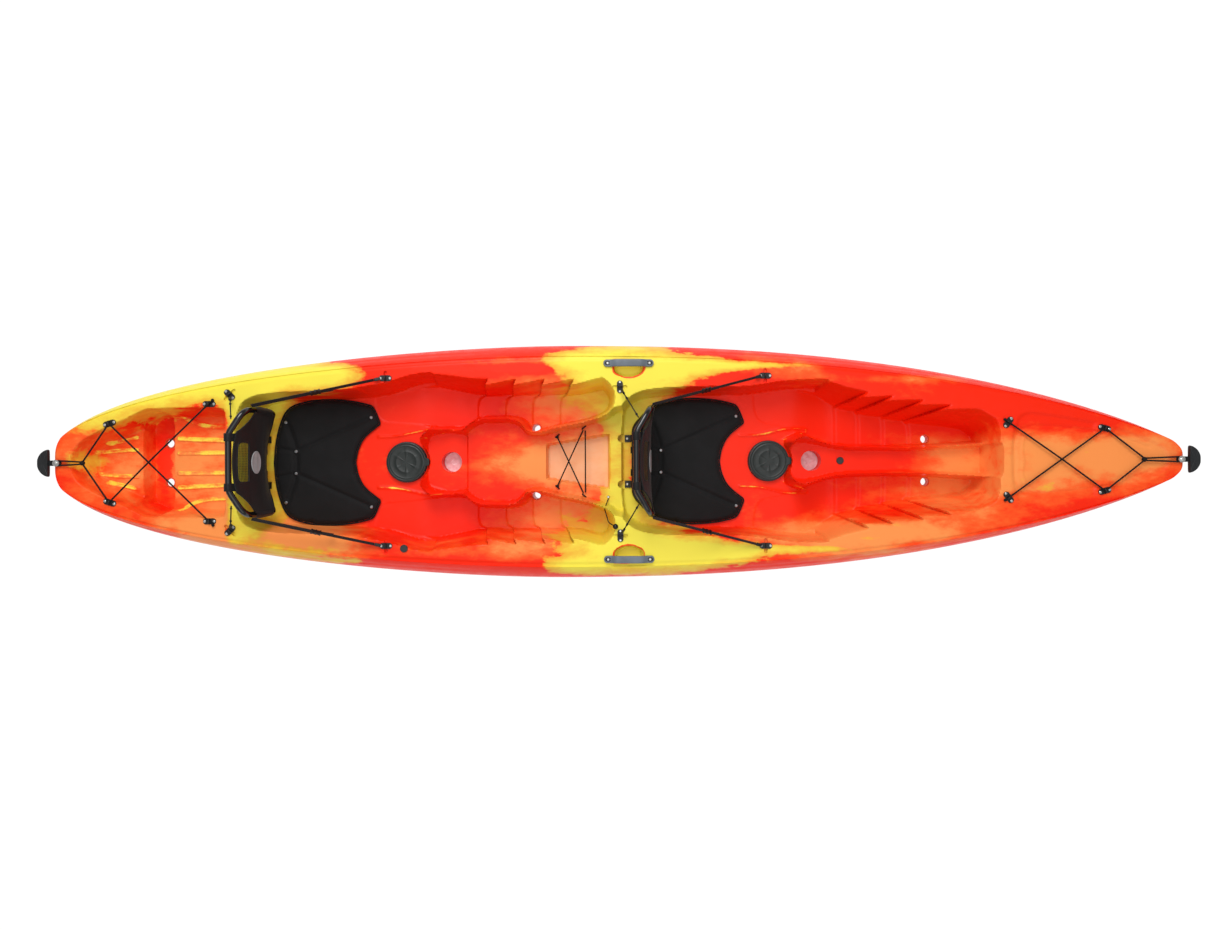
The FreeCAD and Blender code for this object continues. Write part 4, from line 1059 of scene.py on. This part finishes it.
# ------------------------------------------------------------ cushions
CUSHION_REAR = {"rear": -1327, "front": 74}
CUSHION = [(0, 0), (6, 80), (24, 154), (51, 209), (107, 232), (193, 244), (300, 237), (364, 222), (384, 213),
           (406, 160), (409, 146), (396, 137), (345, 96), (321, 46), (314, 0)]
RIVETS = [(88, 42), (49, 154), (377, 172)]
CHANNELS = [([(49, 160), (66, 120), (86, 60), (90, 0)], 10, 7), ([(88, 42), (50, 50), (6, 56)], 7, 5),
            ([(88, 42), (200, 92), (377, 172)], 8, 6)]


def cushion_outline(inset=0.0):
    half = rounded(CUSHION, 2)
    loop = np.vstack([half, (half * [1, -1])[::-1][1:-1]])
    if inset:
        ahead = np.roll(loop, -1, 0) - np.roll(loop, 1, 0)
        normal = np.stack([ahead[:, 1], -ahead[:, 0]], 1) / np.linalg.norm(ahead, axis=1)[:, None]
        loop = loop + normal * inset
    return loop


def prism(name, outline, low, high):
    bm = bmesh.new()
    under = [bm.verts.new((x * MM, y * MM, low * MM)) for x, y in outline]
    over = [bm.verts.new((x * MM, y * MM, high * MM)) for x, y in outline]
    bm.faces.new(under)
    bm.faces.new(over[::-1])
    for k in range(len(outline)):
        after = (k + 1) % len(outline)
        bm.faces.new((under[k], over[k], over[after], under[after]))
    bmesh.ops.recalc_face_normals(bm, faces=bm.faces)
    mesh = bpy.data.meshes.new(name)
    bm.to_mesh(mesh)
    bm.free()
    return mesh


def inflate(thing, cap):
    """Blow a closed form up with a cloth simulation, and cap how far its points move."""
    rest = coords(thing.data)
    cloth = thing.modifiers.new("cloth", "CLOTH")
    cloth.settings.use_pressure = True
    cloth.settings.uniform_pressure_force = 4.0
    cloth.settings.effector_weights.gravity = 0.0
    cloth.point_cache.frame_end = 20
    for moment in range(1, 21):
        bpy.context.scene.frame_set(moment)
    applied(thing)
    bpy.context.scene.frame_set(1)
    push = (coords(thing.data) - rest) * [0, 0, 1]  # the sewn seam holds the outline
    far = np.linalg.norm(push, axis=1)[:, None]
    set_coords(thing.data, rest + push * np.minimum(1, cap / np.maximum(far, 1e-6)))


def cushion_mesh():
    """One cushion about its own rear middle, from the seat floor up."""
    outline = cushion_outline(3.5)
    thing = new_object("cushion_form", prism("cushion_form", outline, 3.0, 15.5))
    modified(thing, "REMESH", mode="VOXEL", voxel_size=0.006)
    inflate(thing, 6.5)
    modified(thing, "SUBSURF", levels=1, render_levels=1)
    at = coords(thing.data)
    x, side, z = at[:, 0], np.abs(at[:, 1]), at[:, 2]
    over = smooth((z - 8) / 6)
    for points, half_width, depth in CHANNELS:
        away = line_distance(x, side, points)
        z = z - over * depth * np.exp(-(away / half_width) ** 2)
    for a, b in RIVETS:
        near = np.hypot(x - a, side - b)
        z = z + over * smooth((16 - near) / 12) * (20.4 - z)
    at[:, 2] = np.clip(z, 0.4, 25)
    set_coords(thing.data, at)
    mesh = thing.data
    bpy.data.objects.remove(thing)
    return mesh


def build_cushions():
    form = cushion_mesh()
    for seat, rear in CUSHION_REAR.items():
        mesh = form.copy()
        mesh.name = seat + "_cushion_pad"
        mesh.transform(Matrix.Translation((rear * MM, 0, 130 * MM)))
        pad = dress(new_object(seat + "_cushion_pad", mesh), "cushion_fabric", "hull_assembly",
                    seat + "_seat_cushion")
        seam = np.array([(rear + a, b, 139.0) for a, b in cushion_outline(0.5)])
        dress(sweep(seat + "_cushion_piping", evenly(seam, 5, True), circle(3, 10), closed=True),
              "cushion_fabric", "hull_assembly")


# ------------------------------------------------------------ seat straps and ties
SIDE_EYES = {"rear": (499, 308), "front": (480, 313)}
TIE_EYES = {"rear": (-66, 248), "front": (-55, 274)}


def span(start, end, first, last, step=6.0):
    a, b = np.array(start, float), np.array(end, float)
    return evenly(np.array([a + (b - a) * first, a + (b - a) * last]), step)


def blended(thing):
    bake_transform(thing)


def joined(name, things):
    """Join pieces into one mesh object."""
    mesh = bpy.data.meshes.new(name)
    with editing(mesh) as bm:
        for thing in things:
            bm.from_mesh(thing.data)
            bpy.data.objects.remove(thing)
    return new_object(name, mesh)


def build_straps(seat):
    x = SEATS[seat]
    for side_name, side in SIDES:
        name = "%s_seat_%s" % (seat, side_name)
        reach, out = SIDE_EYES[seat]
        anchor = (x + 59, side * 200, 417)
        eye = (x + reach - 8, side * out, float(deck(x + reach)) + 8)
        webs = []
        for lift in (-4.5, 4.5):
            double = span(anchor, eye, 0.0, 0.47)
            far = np.linspace(0, 1, len(double))
            double[:, 2] += lift * np.minimum(1, 6 * np.minimum(far + 0.05, 1.02 - far))
            webs.append(sweep("web", double, slab(2.2, 16, 1.0), up=(0, 0.6 * side, 1)))
        webs.append(sweep("web", span(anchor, eye, 0.49, 0.93), slab(2.2, 15, 1.0), up=(0, 0.6 * side, 1)))
        tail = span(anchor, eye, 0.46, 0.60)
        tail[:, 2] -= np.linspace(2, 20, len(tail))
        webs.append(sweep("web", tail, slab(1.8, 15, 0.8), up=(0, 0.6 * side, 1)))
        strap = dress(joined(name + "_webbing", webs), "strap_webbing", None, name + "_strap")
        blended(strap)
        bars = [sweep("bar", span(anchor, eye, 0.44, 0.515, 2.0), slab(3.5, 24, 1.6), up=(0, 0.6 * side, 1))]
        for share in (0.445, 0.478, 0.51):
            bars.append(sweep("bar", span(anchor, eye, share - 0.006, share + 0.006, 1.0), slab(9, 22, 2),
                              up=(0, 0.6 * side, 1)))
        buckle = dress(joined(name + "_ladder_buckle", bars), "fitting_plastic", None, name + "_buckle")
        blended(buckle)
        reach, out = TIE_EYES[seat]
        anchor = (x + 8, side * 152, 466)
        eye = (x + reach + 5, side * (out - 9), float(deck(x + reach)) + 9)
        cord = span(anchor, eye, 0.0, 0.84, 2.0)
        far = np.linspace(0, 1, len(cord))
        knots = 1 + 0.9 * np.exp(-((far - 0.12) / 0.03) ** 2) + 1.0 * np.exp(-((far - 0.8) / 0.035) ** 2)
        tie = sweep(name + "_tie_line", cord, circle(2.2, 12), swell=np.stack([knots, knots], 1))
        dress(tie, "tie_cord", None, name + "_tie")
        blended(tie)


# ------------------------------------------------------------ hatch lids, cup floors and scupper lips
def tab_bump(angle, radius):
    """The lid's finger tab, towards the bow, on the outer rings only."""
    across = np.abs(np.sin(angle)) * 80
    ahead = np.cos(angle) > 0
    return np.where((radius > 70) & ahead, 11 * smooth((16 - across) / 5), 0.0)


def build_lids():
    for seat, x in zip(("rear", "front"), HATCHES):
        profile = [(72.5, 138.2), (76.6, 138.2), (77, 139.2), (77, 147.6), (76, 149.6), (74, 150.3),
                   (71.5, 150.3),
                   (70.4, 149.2), (69.4, 148.4), (66, 148.3), (64.6, 148.9), (63, 149.4), (61.4, 148.9),
                   (60, 148.3),
                   (42, 148.7), (40.5, 149.3), (38, 149.3), (36.5, 148.7), (20, 149.0), (2, 149.1)]
        lid = turned(seat + "_lid_cover", (x, 0), profile, 120, tab_bump)
        at = coords(lid.data)
        away = np.hypot(at[:, 0] - x, at[:, 1])
        turn = np.arctan2(at[:, 1], at[:, 0] - x)
        ribs = smooth((np.abs(np.sin(3 * turn)) - 0.9) / 0.1) * (away < 58) * (away > 8)
        at[:, 2] += 0.8 * ribs
        set_coords(lid.data, at)
        dress(lid, "lid_plastic", seat + "_lid", seat + "_hatch_lid")


def build_floor_fittings():
    for seat, x in zip(("rear", "front"), CUPS):
        profile = [(38.7, 94.4), (38.7, 95.6), (37, 97.0), (33, 96.0), (26, 95.6), (15, 95.8), (13, 97.2),
                   (11, 97.6),
                   (9, 96.6), (5, 95.8), (1, 95.8)]
        dress(turned(seat + "_cup_floor", (x, 0), profile), "hull_plastic", "hull_assembly", finish=CUP)
    for k, (x, y) in enumerate(SCUPPERS):
        floor = float(deck_surface(np.array([x + 20.0]), np.array([float(y)]))[0][0])
        for side_name, side in SIDES:
            profile = [(15.2, floor - 1.5), (15.2, floor + 1.2), (16.2, floor + 2.2), (18, floor + 2.2),
                       (20, floor + 1.0), (21.5, floor - 1.5)]
            lip = turned("scupper_lip_%d_%s" % (k, side_name), (x, side * y), profile, 40)
            with editing(lip.data) as bm:
                bmesh.ops.delete(bm, geom=[v for v in bm.verts if len(v.link_edges) > 8], context="VERTS")
            modified(lip, "SOLIDIFY", thickness=0.0012, offset=-1.0)
            dress(lip, "hull_plastic", "hull_assembly", finish=LIP)


def cup_material():
    # Painted glow: the pale pinkish-white floor stands in for light shining up through the thin plastic from
    # below; noise varies its tone at random.
    s = Shader("cup_floor_painted_glow", Roughness=0.35, Specular_IOR_Level=0.5)
    away = s.spread(s.noise(60.0, 4.0), 0.3, 0.7)
    return s.finish(s.mix(away, colour("F2D2D6"), colour("DDAEB2")), None, s.noise(200.0), 0.2)


CUP = cup_material()
LIP = plastic("scupper_lip_orange", "E2572A", 0.45)


# ------------------------------------------------------------ grips and handles
def build_toggles():
    for name, end in (("stern", -1), ("bow", 1)):
        half = rounded([(0, 0), (0, 48), (3, 50), (16, 46), (32, 32), (40, 12), (40, 0)], 3)
        loop = np.vstack([half, (half * [1, -1])[::-1][1:-1]])
        rings = []
        for k in range(15):
            angle = math.pi * (k / 14 - 0.5)
            share = 0.80 + 0.20 * max(math.cos(angle), 0.0) ** 0.6
            lift = 9 * math.sin(angle)
            ring = [(end * (2059 + 18 + (a - 18) * share), b * share, 346.8 + lift) for a, b in loop]
            rings.append(ring)
        grip = new_object(name + "_grip_pad", rings_mesh(name + "_grip_pad", np.array(rings)))
        at = coords(grip.data)
        ribs = smooth((np.cos(2 * math.pi * (np.abs(at[:, 0]) - 2070) / 7) - 0.2) / 0.6)
        above = smooth((np.abs(at[:, 2] - 346.8) - 5) / 3) * (np.abs(at[:, 1]) < 34)
        at[:, 2] -= np.sign(at[:, 2] - 346.8) * 1.0 * ribs * above
        set_coords(grip.data, at)
        dress(grip, "grip_plastic", name + "_toggle", name + "_toggle_grip")
        path = evenly(np.array([(end * 2015.0, 0, 346.8), (end * 2058.8, 0, 346.8)]), 2)
        web = sweep(name + "_toggle_webbing", path, slab(20, 3, 1.2), up=(0, 0, 1))
        dress(web, "strap_webbing", None, name + "_toggle_strap")
        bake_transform(web)


def build_handles():
    for side_name, side in SIDES:
        base = float(deck(37)) + 0.2
        line = [(-92.5, 4.6), (-64, 4.6), (-48, 16.5), (48, 16.5), (64, 4.6), (92.5, 4.6)]
        path = evenly(bend_path([(37 + a, side * 361, base + c) for a, c in line], 24), 2)
        shape = taper(path, 12, 0.25)
        shape[:, 1] = np.maximum(shape[:, 1], 0.75)
        bar = sweep(side_name + "_handle_grip", path, slab(27, 9, 3.4), up=(0, 0, 1), swell=shape)
        dress(bar, "handle_plastic", "hull_assembly", side_name + "_carry_handle")
        for end in (-1, 1):
            name = "%s_handle_slot_%s" % (side_name, "aft" if end < 0 else "fore")
            slot = turned(name, (37 + end * 77, side * 361),
                          [(8.2, base + 8.2), (8.2, base + 9.3), (7.2, base + 9.6), (6, base + 9.2),
                           (1, base + 9.2)], 32)
            at = coords(slot.data)
            at[:, 0] = 37 + end * 77 + (at[:, 0] - 37 - end * 77) * 1.35
            set_coords(slot.data, at)
            dress(slot, "fitting_plastic", "hull_assembly")


def finish_cad_parts():
    """Every part still shown as it is gets the finish of its own slot."""
    for part in frame["record"]["subparts"]:
        node = frame["nodes"][part["node"]]
        if part["material_slot"] in FINISHES:
            node.data.materials.clear()
            node.data.materials.append(FINISHES[part["material_slot"]])


for seat in SEATS:
    build_seatback(seat)
    build_straps(seat)
build_cushions()
build_lids()
build_floor_fittings()
build_toggles()
build_handles()
finish_cad_parts()


# ------------------------------------------------------------ floor, lights and camera
def studio():
    mesh = bpy.data.meshes.new("floor")
    with editing(mesh) as bm:
        bmesh.ops.create_grid(bm, x_segments=8, y_segments=8, size=30)
    floor = new_object("floor", mesh)
    floor.location.z = -0.0005
    s = Shader("floor_paper", Roughness=0.9, Emission_Strength=1.0, Specular_IOR_Level=0.0)
    s.base.inputs["Emission Color"].default_value = (1, 1, 1, 1)
    mesh.materials.append(s.finish(colour("404040"), None, s.noise(40.0), 0.05))
    world = bpy.data.worlds.new("studio")
    world.use_nodes = True
    world.node_tree.nodes["Background"].inputs[0].default_value = (1, 1, 1, 1)
    world.node_tree.nodes["Background"].inputs[1].default_value = 0.42
    bpy.context.scene.world = world
    for name, place, power, size in (("key", (-0.6, 3.0, 4.0), 150, 2.4), ("fill", (0.8, -3.4, 3.6), 34, 3.0),
                                     ("top", (0.0, 0.0, 5.2), 70, 4.5)):
        light = bpy.data.lights.new(name, "AREA")
        light.energy = power
        light.size = size
        lamp = bpy.data.objects.new(name, light)
        bpy.context.collection.objects.link(lamp)
        lamp.location = place
        lamp.rotation_euler = (Vector((0, 0, 0.2)) - Vector(place)).to_track_quat("-Z", "Y").to_euler()
        lamp.visible_camera = False


def camera():
    data = bpy.data.cameras.new("camera")
    data.sensor_width = 36
    data.lens = 25.14
    data.clip_end = 200
    view = bpy.data.objects.new("camera", data)
    bpy.context.collection.objects.link(view)
    view.location = (-0.014, -0.0138, 3.45)
    view.rotation_euler = (0, 0, -0.00364)
    bpy.context.scene.camera = view


studio()
camera()
bpy.context.scene.view_settings.view_transform = "Standard"
